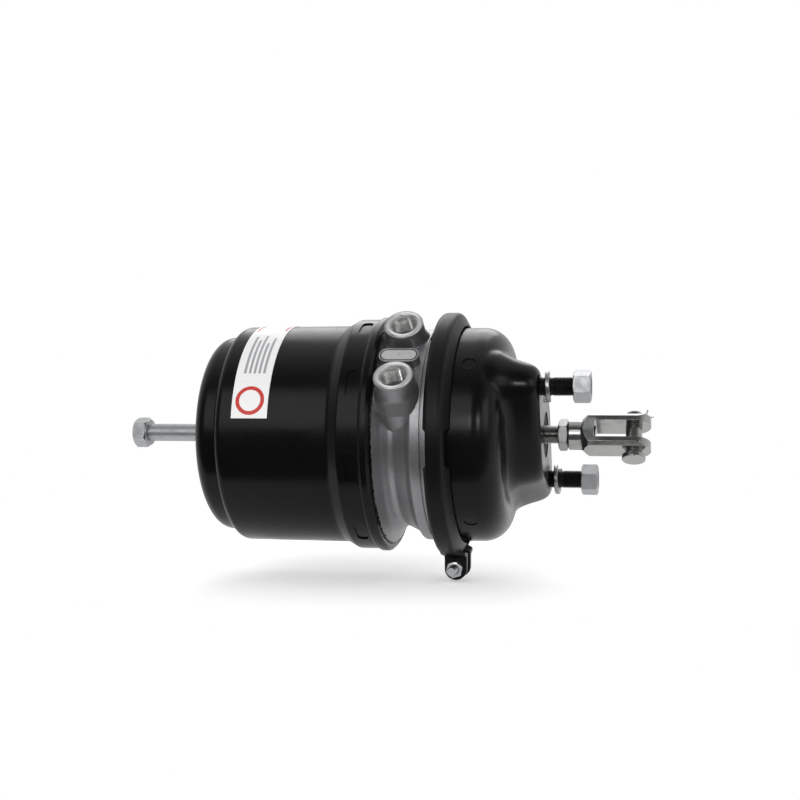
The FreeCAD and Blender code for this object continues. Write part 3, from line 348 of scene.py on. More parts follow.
@dataclass(frozen=True)
class CastAluminium(Finish):
    """Cast aluminium: grainy skin, faint flow clouds and darker hollows."""

    roughness: float = 0.46
    grain_mm: float = 0.16

    def build(self) -> bpy.types.Material:
        """Makes the material.

        Returns:
            The material.
        """
        graph = Graph(self.title)
        cloud = graph.noise(30.0, 8.0, 0.65)
        grain = graph.noise(650.0, 5.0, 0.7)
        pits = graph.cells(420.0)
        dark = tuple(c * 0.72 for c in self.colour)
        tone = graph.spread(cloud, 0.32, 0.68, 0.0, 0.75)
        base = graph.blend(tone, self.colour, dark)
        rough = graph.spread(grain, 0.3, 0.7, self.roughness - 0.1, self.roughness + 0.12)
        graph.set(Base_Color=base, Roughness=rough, Metallic=0.85)
        normal = graph.bump(grain, self.grain_mm, graph.rounding(0.8), 0.6)
        graph.set(Normal=graph.bump(pits, self.grain_mm / 2, normal, 0.25))
        return graph.material


@dataclass(frozen=True)
class TurnedMetal(Finish):
    """Metal machined on a lathe or mill, with fine tool rings about an axis point."""

    roughness: float = 0.28
    metallic: float = 0.95
    grain_per_m: float = 1400.0
    tool_mark_mm: float = 0.008

    def build(self) -> bpy.types.Material:
        """Makes the material.

        Returns:
            The material.
        """
        graph = Graph(self.title)
        cloud = graph.noise(60.0, 5.0)
        lines = graph.noise(self.grain_per_m, 3.0, 0.6, (1.0, 0.25, 0.25))
        shade = tuple(c * 0.86 for c in self.colour)
        graph.set(
            Base_Color=graph.blend(graph.spread(cloud, 0.3, 0.7, 0.0, 0.8), self.colour, shade),
            Roughness=graph.spread(lines, 0.3, 0.7, self.roughness - 0.08, self.roughness + 0.1),
            Metallic=self.metallic,
            Normal=graph.bump(lines, self.tool_mark_mm, graph.rounding(0.35), 0.5),
        )
        return graph.material


@dataclass(frozen=True)
class ZincPlate(Finish):
    """Bright zinc plating with soft spangle, small stains and rounded edges."""

    roughness: float = 0.3
    stain: float = 0.4
    rounding_mm: float = 0.45

    def build(self) -> bpy.types.Material:
        """Makes the material.

        Returns:
            The material.
        """
        graph = Graph(self.title)
        cloud = graph.noise(130.0, 6.0, 0.6)
        speck = graph.noise(1500.0, 3.0)
        stained = tuple(c * f for c, f in zip(self.colour, (0.74, 0.76, 0.8)))
        mix = graph.spread(cloud, 0.38, 0.72, 0.0, self.stain)
        graph.set(
            Base_Color=graph.blend(mix, self.colour, stained),
            Roughness=graph.spread(cloud, 0.3, 0.7, self.roughness - 0.06, self.roughness + 0.12),
            Metallic=0.95,
            Normal=graph.bump(speck, 0.02, graph.rounding(self.rounding_mm), 0.4),
        )
        return graph.material


@dataclass(frozen=True)
class DarkSteel(Finish):
    """Black phosphated or painted steel with worn crests."""

    roughness: float = 0.45
    metallic: float = 0.2
    gloss: float = 0.15

    def build(self) -> bpy.types.Material:
        """Makes the material.

        Returns:
            The material.
        """
        graph = Graph(self.title)
        cloud = graph.noise(160.0, 6.0)
        speck = graph.noise(1300.0, 3.0)
        worn = tuple(c * 2.0 + 0.004 for c in self.colour)
        graph.set(
            Base_Color=graph.blend(graph.spread(cloud, 0.45, 0.75, 0.0, 0.7), self.colour, worn),
            Roughness=graph.spread(speck, 0.3, 0.7, self.roughness - 0.08, self.roughness + 0.1),
            Metallic=self.metallic,
            Specular_IOR_Level=self.gloss,
            Normal=graph.bump(speck, 0.02, graph.rounding(0.3), 0.5),
        )
        return graph.material


@dataclass(frozen=True)
class Moulded(Finish):
    """Moulded rubber or plastic: matte, slightly dusty, with a fine skin."""

    roughness: float = 0.7
    skin_mm: float = 0.05

    def build(self) -> bpy.types.Material:
        """Makes the material.

        Returns:
            The material.
        """
        graph = Graph(self.title)
        cloud = graph.noise(70.0, 5.0)
        skin = graph.noise(1100.0, 4.0)
        pale = tuple(min(1.0, c * 1.35 + 0.01) for c in self.colour)
        graph.set(
            Base_Color=graph.blend(graph.spread(cloud, 0.35, 0.7, 0.0, 0.8), self.colour, pale),
            Roughness=graph.spread(skin, 0.3, 0.7, self.roughness - 0.07, self.roughness + 0.1),
            Specular_IOR_Level=0.35,
            Normal=graph.bump(skin, self.skin_mm, graph.rounding(0.3), 0.5),
        )
        return graph.material


@dataclass(frozen=True)
class Printed(Finish):
    """Printed sticker film: smooth, with faint waviness and slightly uneven ink."""

    roughness: float = 0.38

    def build(self) -> bpy.types.Material:
        """Makes the material.

        Returns:
            The material.
        """
        graph = Graph(self.title)
        wave = graph.noise(45.0, 3.0)
        ink = graph.noise(700.0, 3.0)
        shade = tuple(c * 0.9 for c in self.colour)
        graph.set(
            Base_Color=graph.blend(graph.spread(ink, 0.35, 0.7, 0.0, 0.6), self.colour, shade),
            Roughness=graph.spread(wave, 0.3, 0.7, self.roughness - 0.06, self.roughness + 0.08),
            Normal=graph.bump(wave, 0.12, None, 0.3),
        )
        return graph.material


PAINT = BlackPaint("black_paint", (0.002, 0.002, 0.0022), roughness=0.23, gloss=0.15, dust=0.3)
BAND_PAINT = BlackPaint("band_paint", (0.0035, 0.0035, 0.0037), roughness=0.36, peel_mm=0.04)
CAST = CastAluminium("cast_aluminium", (0.31, 0.31, 0.32), roughness=0.4)
# Dark copy of the cast finish, used only as painted shade in the pad's groove.
GROOVE_SHADE = CastAluminium("groove_painted_shade", (0.1, 0.1, 0.1), roughness=0.5)
MACHINED = TurnedMetal("machined_aluminium", (0.54, 0.54, 0.54), roughness=0.34, tool_mark_mm=0.003)
ZINC = ZincPlate("zinc_plate", (0.44, 0.45, 0.46))
PALE_ZINC = ZincPlate("pale_zinc", (0.38, 0.385, 0.395), roughness=0.42, stain=0.25, rounding_mm=0.7)
SPRUNG_ZINC = ZincPlate("sprung_zinc", (0.27, 0.27, 0.265), roughness=0.3, stain=0.3, rounding_mm=0.9)
CLEVIS_ZINC = ZincPlate("clevis_zinc", (0.31, 0.31, 0.3), roughness=0.14, stain=0.4)
ROD_ZINC = ZincPlate("rod_zinc", (0.3, 0.3, 0.29), roughness=0.16, stain=0.5)
BRIGHT = TurnedMetal("bright_steel", (0.62, 0.62, 0.62), roughness=0.24)
# Freshly cut aluminium, with its colour raised well above the machined faces' as painted highlight for the
# reflections in the port's bore.
LIT_CUT_THREAD = TurnedMetal("cut_thread_painted_highlight", (0.88, 0.88, 0.86), roughness=0.13, tool_mark_mm=0.001)
BLACK_STEEL = DarkSteel("black_steel", (0.005, 0.005, 0.005))
SPRING_STEEL = DarkSteel("spring_steel", (0.05, 0.055, 0.06), roughness=0.48, metallic=0.3, gloss=0.3)
RUBBER = Moulded("rubber", (0.008, 0.008, 0.008))
NYLON = Moulded("nylon", (0.72, 0.69, 0.6), roughness=0.5)
FILM = Printed("sticker_film", (0.78, 0.78, 0.775))
RED_INK = Printed("sticker_red", (0.52, 0.022, 0.016), roughness=0.5)
GREY_INK = Printed("sticker_grey", (0.30, 0.31, 0.33))


def mesh_piece(name: str, points: Sequence[Vector], faces: Iterable[Sequence[int]], finish: Finish,
               body: Body, sharp_deg: float = 32.0) -> bpy.types.Object:
    """Makes a shaded piece that rides on a body.

    Args:
        name: the piece's name.
        points: vertices in metres, in the row frame.
        faces: vertex indices of each face.
        finish: its surface.
        body: the body that it rides on.
        sharp_deg: edges that turn by more than this stay sharp.

    Returns:
        The object.
    """
    mesh = bpy.data.meshes.new(name)
    mesh.from_pydata([tuple(p) for p in points], [], [tuple(f) for f in faces])
    shaped = bmesh.new()
    shaped.from_mesh(mesh)
    bmesh.ops.remove_doubles(shaped, verts=shaped.verts, dist=1e-7)
    bmesh.ops.dissolve_degenerate(shaped, edges=shaped.edges, dist=1e-7)
    bmesh.ops.recalc_face_normals(shaped, faces=shaped.faces)
    limit = math.radians(sharp_deg)
    for face in shaped.faces:
        face.smooth = True
    for edge in shaped.edges:
        edge.smooth = len(edge.link_faces) == 2 and edge.calc_face_angle(0.0) < limit
    shaped.to_mesh(mesh)
    shaped.free()
    mesh.materials.append(finish.material())
    piece = bpy.data.objects.new(name, mesh)
    bpy.context.collection.objects.link(piece)
    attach(piece, body.value)
    return piece


def grid_faces(rows: int, columns: int, wrap_rows: bool, wrap_columns: bool) -> list[tuple[int, ...]]:
    """Quads of a grid of vertices, row by row.

    Args:
        rows: rows of vertices.
        columns: vertices in a row.
        wrap_rows: joins the last row to the first.
        wrap_columns: joins the last column to the first.

    Returns:
        The quads.
    """
    quads = []
    for i in range(rows if wrap_rows else rows - 1):
        for j in range(columns if wrap_columns else columns - 1):
            below = (i + 1) % rows
            right = (j + 1) % columns
            quads.append((i * columns + j, i * columns + right, below * columns + right, below * columns + j))
    return quads


@dataclass(frozen=True)
class Thread:
    """A screw thread as one continuous helical surface, with its ends run out."""

    name: str
    start_x: float
    end_x: float
    crest_radius: float
    depth: float
    pitch: float
    side: ThreadSide = ThreadSide.OUTSIDE
    segments: int = 48

    def profile(self) -> list[Point]:
        """Share of the pitch and of the depth at each profile point.

        Returns:
            The points of one pitch.
        """
        return [(0.0, 0.0), (0.12, 0.0), (0.44, 1.0), (0.56, 1.0), (0.88, 0.0)]

    def points(self, place: Matrix) -> Shape:
        """Vertices and faces of the thread.

        Args:
            place: puts the thread's own +X axis where it belongs, in millimetres.

        Returns:
            The vertices in metres and the faces.
        """
        shape = self.profile() + [(1.0, 0.0)]
        turns = (self.end_x - self.start_x) / self.pitch + 1
        steps = math.ceil(turns * self.segments)
        points = []
        for i in range(steps + 1):
            angle = 2 * math.pi * i / self.segments
            for share, height in shape:
                x = self.start_x + self.pitch * (i / self.segments + share - 1)
                x = max(self.start_x, min(self.end_x, x))
                edge = min(x - self.start_x, self.end_x - x) / self.pitch
                valley = self.crest_radius - self.side.value * self.depth
                radius = valley + self.side.value * self.depth * height * max(0.0, min(1.0, edge))
                spot = Vector((x, radius * math.sin(angle), radius * math.cos(angle)))
                points.append(place @ spot * MM)
        return points, grid_faces(steps + 1, len(shape), False, False)


@dataclass(frozen=True)
class Turning:
    """A piece turned about its own X axis from (x, radius) points."""

    outline: tuple[Point, ...]
    segments: int = 96

    def points(self, place: Matrix) -> Shape:
        """Vertices and faces of the turned surface.

        Args:
            place: puts the piece where it belongs, in millimetres.

        Returns:
            The vertices in metres and the faces.
        """
        points = []
        for i in range(self.segments):
            angle = 2 * math.pi * i / self.segments
            for x, radius in self.outline:
                points.append(place @ Vector((x, radius * math.sin(angle), radius * math.cos(angle))) * MM)
        return points, grid_faces(self.segments, len(self.outline), True, True)


@dataclass(frozen=True)
class Hexagon:
    """A nut or bolt head with the curved chamfers that turning leaves on a hexagon."""

    flats: float
    start_x: float
    end_x: float
    bore: float
    roll_deg: float = 0.0
    chamfer_deg: float = 30.0
    circle_share: float = 0.975
    rim_share: float = 1.08
    least_radius: float = 0.005
    segments: int = 96

    def points(self, place: Matrix) -> Shape:
        """Vertices and faces of the nut.

        Args:
            place: puts the nut's own +X axis where it belongs, in millimetres.

        Returns:
            The vertices in metres and the faces.
        """
        slope = math.tan(math.radians(self.chamfer_deg))
        circle = self.flats / 2 * self.circle_share
        points = []
        for i in range(self.segments):
            angle = 2 * math.pi * i / self.segments
            apart = (math.degrees(angle) + 30) % 60 - 30
            radius = self.flats / 2 / math.cos(math.radians(30 - abs(apart)))
            drop = (radius - circle) * slope
            rim = max(self.bore * self.rim_share, 2 * self.least_radius)
            step = rim - self.bore
            outline = [
                (self.start_x + step, max(self.bore, self.least_radius)),
                (self.start_x, rim),
                (self.start_x, circle),
                (self.start_x + drop, radius),
                (self.end_x - drop, radius),
                (self.end_x, circle),
                (self.end_x, rim),
                (self.end_x - step, max(self.bore, self.least_radius)),
            ]
            turn = angle + math.radians(self.roll_deg)
            for x, distance in outline:
                points.append(place @ Vector((x, distance * math.sin(turn), distance * math.cos(turn))) * MM)
        return points, grid_faces(self.segments, len(outline), True, True)


def joined(*shapes: Shape) -> Shape:
    """Puts several point and face lists into one.

    Args:
        shapes: pairs of vertices and faces.

    Returns:
        One pair.
    """
    points: list[Vector] = []
    faces: list[tuple[int, ...]] = []
    for more_points, more_faces in shapes:
        base = len(points)
        points += more_points
        faces += [tuple(base + i for i in face) for face in more_faces]
    return points, faces


def disc_cap(x: float, radius: float, place: Matrix, segments: int = 48) -> Shape:
    """A flat round end.

    Args:
        x: its place along the axis.
        radius: its radius.
        place: puts it where it belongs, in millimetres.
        segments: corners of the disc.

    Returns:
        The vertices in metres and the face.
    """
    points = []
    for i in range(segments):
        angle = 2 * math.pi * i / segments
        points.append(place @ Vector((x, radius * math.sin(angle), radius * math.cos(angle))) * MM)
    return points, [tuple(range(segments))]


@dataclass
class SubAssembly(ABC):
    """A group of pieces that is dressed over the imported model."""

    frame: dict[str, Any]

    def dress(self, finish: Finish, *nodes: str) -> None:
        """Gives CAD nodes a finish and leaves their shape as it is.

        Args:
            finish: the surface.
            nodes: names of the nodes.
        """
        for name in nodes:
            shell = self.frame["nodes"][name].data
            shell.materials.clear()
            shell.materials.append(finish.material())
        LOG.info("dressed %s in %s", ", ".join(nodes), finish.name)

    @abstractmethod
    def build(self) -> None:
        """Makes and dresses the pieces."""


@dataclass(frozen=True)
class Lamp:
    """A square soft lamp: its place and side in metres, and its power in watts."""

    name: str
    place: Colour
    side: float
    power: float


@dataclass
class Studio:
    """Pale floor, soft light and the camera of the photograph's view."""

    camera_place: Colour = (115.3, -1104.6, 30.0)
    camera_turn_deg: float = 12.5
    image_pixels: float = 800.0
    focal_pixels: float = 1274.0
    sensor_mm: float = 36.0
    floor_z: float = -128.5
    floor_front: float = -165.0
    floor_back: float = 800.0
    floor_reach: float = 900.0
    floor_glow: float = 0.3
    even_light: float = 0.6
    room_dark: float = 0.1
    lamps: tuple[Lamp, ...] = (
        Lamp("front_softbox", (-0.65, -1.7, 0.8), 1.3, 11.0),
        Lamp("front_spot", (-0.14, -1.7, 0.44), 0.3, 2.6),
        Lamp("side_softbox", (1.6, -1.0, 0.6), 0.9, 6.0),
        Lamp("side_spot", (0.75, -1.5, 0.42), 0.22, 4.0),
        Lamp("back_softbox", (-0.3, 1.5, 1.4), 1.3, 12.0),
    )

    def camera(self) -> None:
        """Makes the camera and sets it as the scene's."""
        data = bpy.data.cameras.new("photo_camera")
        data.sensor_width = self.sensor_mm
        data.lens = self.focal_pixels / self.image_pixels * self.sensor_mm
        data.clip_end = 50.0
        camera = bpy.data.objects.new("photo_camera", data)
        camera.location = Vector(self.camera_place) * MM
        camera.rotation_euler = (math.pi / 2, 0.0, math.radians(self.camera_turn_deg))
        bpy.context.collection.objects.link(camera)
        bpy.context.scene.camera = camera
        LOG.info("camera set, lens %.2f mm", data.lens)

    def shown(self, tree: bpy.types.NodeTree) -> bpy.types.NodeSocket:
        """Share that is 1 for rays that see the background: camera, glossy and transmission rays.

        Args:
            tree: the node tree that it goes into.

        Returns:
            The share.
        """
        rays = tree.nodes.new("ShaderNodeLightPath")
        share = rays.outputs["Is Camera Ray"]
        for other in ("Is Glossy Ray", "Is Transmission Ray"):
            most = tree.nodes.new("ShaderNodeMath")
            most.operation = "MAXIMUM"
            tree.links.new(share, most.inputs[0])
            tree.links.new(rays.outputs[other], most.inputs[1])
            share = most.outputs[0]
        return share

    def floor(self) -> None:
        """Makes the pale floor, which takes the object's shadow."""
        side = self.floor_reach
        front, back = self.floor_front, self.floor_back
        corners = [(-side, front), (side, front), (side, back), (-side, back)]
        mesh = bpy.data.meshes.new("floor")
        mesh.from_pydata([(x * MM, y * MM, self.floor_z * MM) for x, y in corners], [], [(0, 1, 2, 3)])
        floor = bpy.data.objects.new("floor", mesh)
        material = bpy.data.materials.new("floor_white")
        material.use_nodes = True
        tree = material.node_tree
        shader = tree.nodes["Principled BSDF"]
        shader.inputs["Base Color"].default_value = (0.95, 0.95, 0.95, 1.0)
        shader.inputs["Roughness"].default_value = 0.95
        shader.inputs["Specular IOR Level"].default_value = 0.0
        shader.inputs["Emission Color"].default_value = (1.0, 1.0, 1.0, 1.0)
        glow = tree.nodes.new("ShaderNodeMath")
        glow.operation = "MULTIPLY"
        glow.inputs[1].default_value = self.floor_glow
        tree.links.new(self.shown(tree), glow.inputs[0])
        tree.links.new(glow.outputs[0], shader.inputs["Emission Strength"])
        mesh.materials.append(material)
        bpy.context.collection.objects.link(floor)

    def light(self) -> None:
        """Makes the soft lamps, all turned towards the object."""
        for lamp in self.lamps:
            data = bpy.data.lights.new(lamp.name, "AREA")
            data.shape = "SQUARE"
            data.size = lamp.side
            data.energy = lamp.power
            holder = bpy.data.objects.new(lamp.name, data)
            holder.location = lamp.place
            holder.rotation_euler = (-Vector(lamp.place)).to_track_quat("-Z", "Y").to_euler()
            holder.visible_camera = False
            bpy.context.collection.objects.link(holder)

    def surround(self) -> None:
        """Makes an even light whose background is white, and darker in reflections of the camera's side."""
        world = bpy.data.worlds.new("surround")
        world.use_nodes = True
        tree = world.node_tree
        even = tree.nodes["Background"]
        even.inputs["Color"].default_value = (1.0, 1.0, 1.0, 1.0)
        even.inputs["Strength"].default_value = self.even_light
        way = tree.nodes.new("ShaderNodeSeparateXYZ")
        tree.links.new(tree.nodes.new("ShaderNodeTexCoord").outputs["Generated"], way.inputs[0])
        fade = tree.nodes.new("ShaderNodeMapRange")
        fade.interpolation_type = "SMOOTHSTEP"
        for key, number in (("From Min", -0.6), ("From Max", 0.15), ("To Min", self.room_dark), ("To Max", 1.0)):
            fade.inputs[key].default_value = number
        tree.links.new(way.outputs["Y"], fade.inputs["Value"])
        rays = tree.nodes.new("ShaderNodeLightPath")
        level = tree.nodes.new("ShaderNodeMath")
        level.operation = "MAXIMUM"
        tree.links.new(rays.outputs["Is Camera Ray"], level.inputs[0])
        tree.links.new(fade.outputs["Result"], level.inputs[1])
        white = tree.nodes.new("ShaderNodeBackground")
        white.inputs["Color"].default_value = (1.0, 1.0, 1.0, 1.0)
        tree.links.new(level.outputs[0], white.inputs["Strength"])
        mix = tree.nodes.new("ShaderNodeMixShader")
        tree.links.new(self.shown(tree), mix.inputs["Fac"])
        tree.links.new(even.outputs["Background"], mix.inputs[1])
        tree.links.new(white.outputs["Background"], mix.inputs[2])
        tree.links.new(mix.outputs["Shader"], tree.nodes["World Output"].inputs["Surface"])
        bpy.context.scene.world = world
        bpy.context.scene.view_settings.view_transform = "Standard"

    def build(self) -> None:
        """Builds the whole stage."""
        self.floor()
        self.light()
        self.surround()
        self.camera()


@dataclass
class SpringCylinder(SubAssembly):
    """Black spring cylinder with its sticker."""

    cylinder_radius: float = 96.0
    film_mm: float = 0.3
    left_x: float = -253.5
    right_x: float = -222.0
    start_deg: float = 8.8
    end_deg: float = 118.0
    ring_x: float = -238.0
    ring_deg: float = 18.0
    ring_radius: float = 12.6
    ring_width: float = 3.3
    ink_mm: float = 0.04
    film_lift: float = 0.06
    film_spare: float = 0.04
    ink_lift: float = 0.1
    ring_lift: float = 0.12
    patch_step_deg: float = 1.5
    ring_steps: int = 72
    lip_x: float = -133.2
    lip_radius: float = 96.6
    lip_steps: int = 360
    lip_root: tuple[Point, Point] = ((-1.0, -1.2), (-1.0, 0.6))
    lip_reach: Point = (0.1, 0.9)
    lip_rise: float = 0.7

    def lip(self) -> None:
        """Ragged black edge of the rolled lip that grips the cast body."""
        uneven = random.Random(7)
        points = []
        for i in range(self.lip_steps):
            turn = 2 * math.pi * i / self.lip_steps
            reach = uneven.uniform(*self.lip_reach)
            rise = uneven.uniform(0.0, self.lip_rise)
            for x, radius in (*self.lip_root, (reach, rise), (reach, self.lip_root[0][1])):
                across = self.lip_radius + radius
                points.append(Vector((self.lip_x + x, across * math.cos(turn), across * math.sin(turn))) * MM)
        mesh_piece("rolled_lip", points, grid_faces(self.lip_steps, 4, True, True), PAINT, Body.CHAMBER)

    def spot(self, x: float, angle_deg: float, lift: float) -> Vector:
        """Point on the cylinder in metres.

        Args:
            x: place along the axis.
            angle_deg: angle above the horizontal that faces -Y.
            lift: height over the cylinder.

        Returns:
            The point.
        """
        angle = math.radians(angle_deg)
        radius = self.cylinder_radius + lift
        return Vector((x, -radius * math.cos(angle), radius * math.sin(angle))) * MM

    def patch(self, name: str, x_low: float, x_high: float, low_deg: float, high_deg: float,
              lift: float, thick: float, finish: Finish) -> bpy.types.Object:
        """A curved rectangle of film or ink.

        Args:
            name: the piece's name.
            x_low: left edge.
            x_high: right edge.
            low_deg: lower edge's angle.
            high_deg: upper edge's angle.
            lift: height of its underside over the cylinder.
            thick: its thickness.
            finish: its surface.

        Returns:
            The piece.
        """
        steps = max(2, round((high_deg - low_deg) / self.patch_step_deg))
        points = []
        for i in range(steps + 1):
            angle = low_deg + (high_deg - low_deg) * i / steps
            for x, height in ((x_low, lift), (x_high, lift), (x_high, lift + thick), (x_low, lift + thick)):
                points.append(self.spot(x, angle, height))
        faces = grid_faces(steps + 1, 4, False, True)
        faces += [(0, 1, 2, 3), tuple(4 * steps + i for i in (3, 2, 1, 0))]
        return mesh_piece(name, points, faces, finish, Body.CHAMBER)

    def ring(self) -> None:
        """A plain red ring on the sticker."""
        top = self.film_mm + self.ring_lift + self.ink_mm
        points = []
        for i in range(self.ring_steps):
            turn = 2 * math.pi * i / self.ring_steps
            for radius, height in (
                (self.ring_radius, top - self.ink_mm), (self.ring_radius, top),
                (self.ring_radius - self.ring_width, top), (self.ring_radius - self.ring_width, top - self.ink_mm),
            ):
                angle = self.ring_deg + math.degrees(radius * math.sin(turn) / self.cylinder_radius)
                points.append(self.spot(self.ring_x + radius * math.cos(turn), angle, height))
        mesh_piece("sticker_ring", points, grid_faces(self.ring_steps, 4, True, True), RED_INK, Body.CHAMBER)

    def sticker(self) -> None:
        """White film with a plain ring and plain bars."""
        film = self.patch("sticker_film", self.left_x, self.right_x, self.start_deg, self.end_deg,
                          self.film_lift, self.film_mm + self.film_spare, FILM)
        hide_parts("label")
        self.ring()
        lift = self.film_mm + self.ink_lift
        bars = (
            (-247.0, -244.8, 33.0, 62.0, GREY_INK), (-242.6, -240.6, 33.0, 58.0, GREY_INK),
            (-238.4, -236.4, 33.0, 63.0, GREY_INK), (-234.2, -232.2, 33.0, 55.0, GREY_INK),
            (-230.0, -227.8, 33.0, 60.0, GREY_INK), (-251.5, -249.8, 70.0, 110.0, RED_INK),
            (-226.0, -224.4, 70.0, 110.0, RED_INK),
        )
        for index, (low, high, start, end, ink) in enumerate(bars):
            self.patch(f"sticker_bar_{index + 1}", low, high, start, end, lift, self.ink_mm, ink)

    def build(self) -> None:
        """Dresses the cylinder and makes its sticker."""
        self.dress(PAINT, "spring_housing")
        self.lip()
        self.sticker()


@dataclass
class ReleaseScrew(SubAssembly):
    """Release bolt, screwed out, with its bush and foot."""

    radius: float = 8.0
    flats: float = 24.0
    head_face_x: float = -366.1
    head_height: float = 13.5
    washer_face: float = 1.2
    end_x: float = -209.3
    roll_deg: float = 10.0

    def build(self) -> None:
        """Makes the bolt and dresses what holds it."""
        place = Matrix()
        head_end = self.head_face_x - self.washer_face
        head = Hexagon(self.flats, self.head_face_x - self.head_height, head_end, 0.0, self.roll_deg).points(place)
        face = Turning((
            (head_end - 0.3, 0.01), (head_end - 0.3, self.flats / 2 - 0.5), (self.head_face_x, self.flats / 2 - 0.4),
            (self.head_face_x, 0.01),
        )).points(place)
        shank = Turning((
            (self.head_face_x - 0.2, 0.01), (self.head_face_x - 0.2, self.radius), (self.end_x - 1.5, self.radius),
            (self.end_x, self.radius - 1.5), (self.end_x, 0.01),
        ), segments=64).points(place)
        bolt = mesh_piece("release_bolt_body", *joined(head, face, shank), PALE_ZINC, Body.RELEASE_SCREW)
        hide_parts("release_bolt")
        self.dress(BRIGHT, "release_bush", "release_bolt_foot")
        self.dress(ZINC, "foot_lock_nut")


@dataclass
class FlangeBody(SubAssembly):
    """Cast body with the threads of its two ports and its machined faces."""

    roll_deg: float = 47.0
    port_x: float = -114.0
    offset: float = 30.0
    face: float = 105.0
    thread_radius: float = 10.25
    thread_depth: float = 17.0
    pitch: float = 1.5
    boss_radius: float = 16.5
    ring_inset: float = 1.25
    ring_margin: float = 0.8
    ring_skin: float = 0.06
    ring_slope: float = 0.1
    pad_face: float = 101.0
    pad_length: float = 34.0
    pad_width: float = 15.5
    pad_centre: float = -2.0
    pad_relief: float = 0.35
    pad_steps: int = 24

    def port_place(self, offset: float, depth: float) -> Matrix:
        """Frame of a port: its own +X axis points out of its mouth.

        Args:
            offset: sideways distance from the middle of the two ports.
            depth: distance from the chamber's axis.

        Returns:
            The frame in millimetres.
        """
        out = rolled(self.roll_deg) @ Vector((0.0, 0.0, 1.0))
        side = rolled(self.roll_deg) @ Vector((0.0, 1.0, 0.0))
        spot = out * depth + side * offset + Vector((self.port_x, 0.0, 0.0))
        turn = Vector((1.0, 0.0, 0.0)).rotation_difference(out).to_matrix().to_4x4()
        return Matrix.Translation(spot) @ turn

    def port(self, index: int, offset: float) -> None:
        """Thread and machined face of one port.

        Args:
            index: number of the port.
            offset: its sideways place.
        """
        place = self.port_place(offset, self.face)
        # The tapped thread's bright colour is partly bare cut metal and partly painted highlight.
        thread = Thread(f"port_thread_{index}", -self.thread_depth + 0.5, -1.3, self.thread_radius - 0.75, 0.72,
                        self.pitch, ThreadSide.INSIDE, 64)
        mesh_piece(thread.name, *thread.points(place), LIT_CUT_THREAD, Body.CHAMBER, 60.0)
        inner, outer = self.thread_radius + self.ring_inset, self.boss_radius - self.ring_margin
        ring = Turning((
            (0.0, inner), (self.ring_skin, inner + self.ring_slope), (self.ring_skin, outer - self.ring_slope),
            (0.0, outer),
        )).points(place)
        mesh_piece(f"port_face_{index}", *ring, MACHINED, Body.CHAMBER)

    def pad_point(self, step: int, inset: float, height: float) -> Vector:
        """Point of an oblong loop on the pad, in metres.

        Args:
            step: number of the point, of twice pad_steps.
            inset: distance inwards from the pad's edge.
            height: height over the pad's face.

        Returns:
            The point.
        """
        side, part = divmod(step, self.pad_steps)
        angle = math.pi * (part / (self.pad_steps - 1) - 0.5 + side)
        half = (self.pad_length - self.pad_width) / 2
        radius = self.pad_width / 2 - inset
        along = (half if side == 0 else -half) + radius * math.cos(angle)
        across = radius * math.sin(angle)
        spot = rolled(self.roll_deg) @ Vector((0.0, across + self.pad_centre, self.pad_face + height))
        return (spot + Vector((self.port_x + along, 0.0, 0.0))) * MM

    def pad(self) -> None:
        """Machined rim and face of the oblong pad, with a groove between them, and a centre mark. The groove holds a
        thin dark sheet of painted shade.
        """
        count = 2 * self.pad_steps
        top = self.pad_relief
        rim_in, face_out = 1.0, 2.2
        rim = [(0.25, 0.0), (0.45, top), (rim_in - 0.15, top), (rim_in, 0.0)]
        points = [self.pad_point(i, inset, height) for i in range(count) for inset, height in rim]
        mesh_piece("pad_rim", points, grid_faces(count, len(rim), True, True), MACHINED, Body.CHAMBER)
        # A thin dark sheet laid in the groove between rim and face: painted shade.
        groove = [(rim_in - 0.05, 0.0), (rim_in - 0.05, 0.06), (face_out + 0.05, 0.06), (face_out + 0.05, 0.0)]
        points = [self.pad_point(i, inset, height) for i in range(count) for inset, height in groove]
        mesh_piece("pad_groove_shade", points, grid_faces(count, len(groove), True, True), GROOVE_SHADE, Body.CHAMBER)
        face = [(face_out, 0.0), (face_out + 0.2, top)]
        points = [self.pad_point(i, inset, height) for inset, height in face for i in range(count)]
        faces = grid_faces(2, count, False, True) + [tuple(range(count, 2 * count)), tuple(range(count))]
        mesh_piece("pad_face", points, faces, MACHINED, Body.CHAMBER)
        place = self.port_place(self.pad_centre, self.pad_face + top)
        mark = Turning(((0.0, 1.5), (0.06, 1.4), (0.06, 1.0), (0.0, 0.9)), 32).points(place)
        mesh_piece("pad_mark", *mark, BRIGHT, Body.CHAMBER)

    def build(self) -> None:
        """Dresses the body and makes its machined details."""
        self.dress(CAST, "flange_body")
        self.dress(RUBBER, "flange_o_ring", "tube_lip_seal")
        self.dress(NYLON, "tube_guide_bush")
        for index, offset in enumerate((self.offset, -self.offset), start=1):
            self.port(index, offset)
        self.pad()


@dataclass
class ServiceHousing(SubAssembly):
    """Service housing with its plugs, seal and diaphragm."""

    def build(self) -> None:
        """Dresses the housing and what it holds."""
        self.dress(PAINT, "service_housing", "vent_plugs")
        self.dress(RUBBER, "rod_seal", "diaphragm")
        self.dress(SPRING_STEEL, "return_spring", "power_spring")


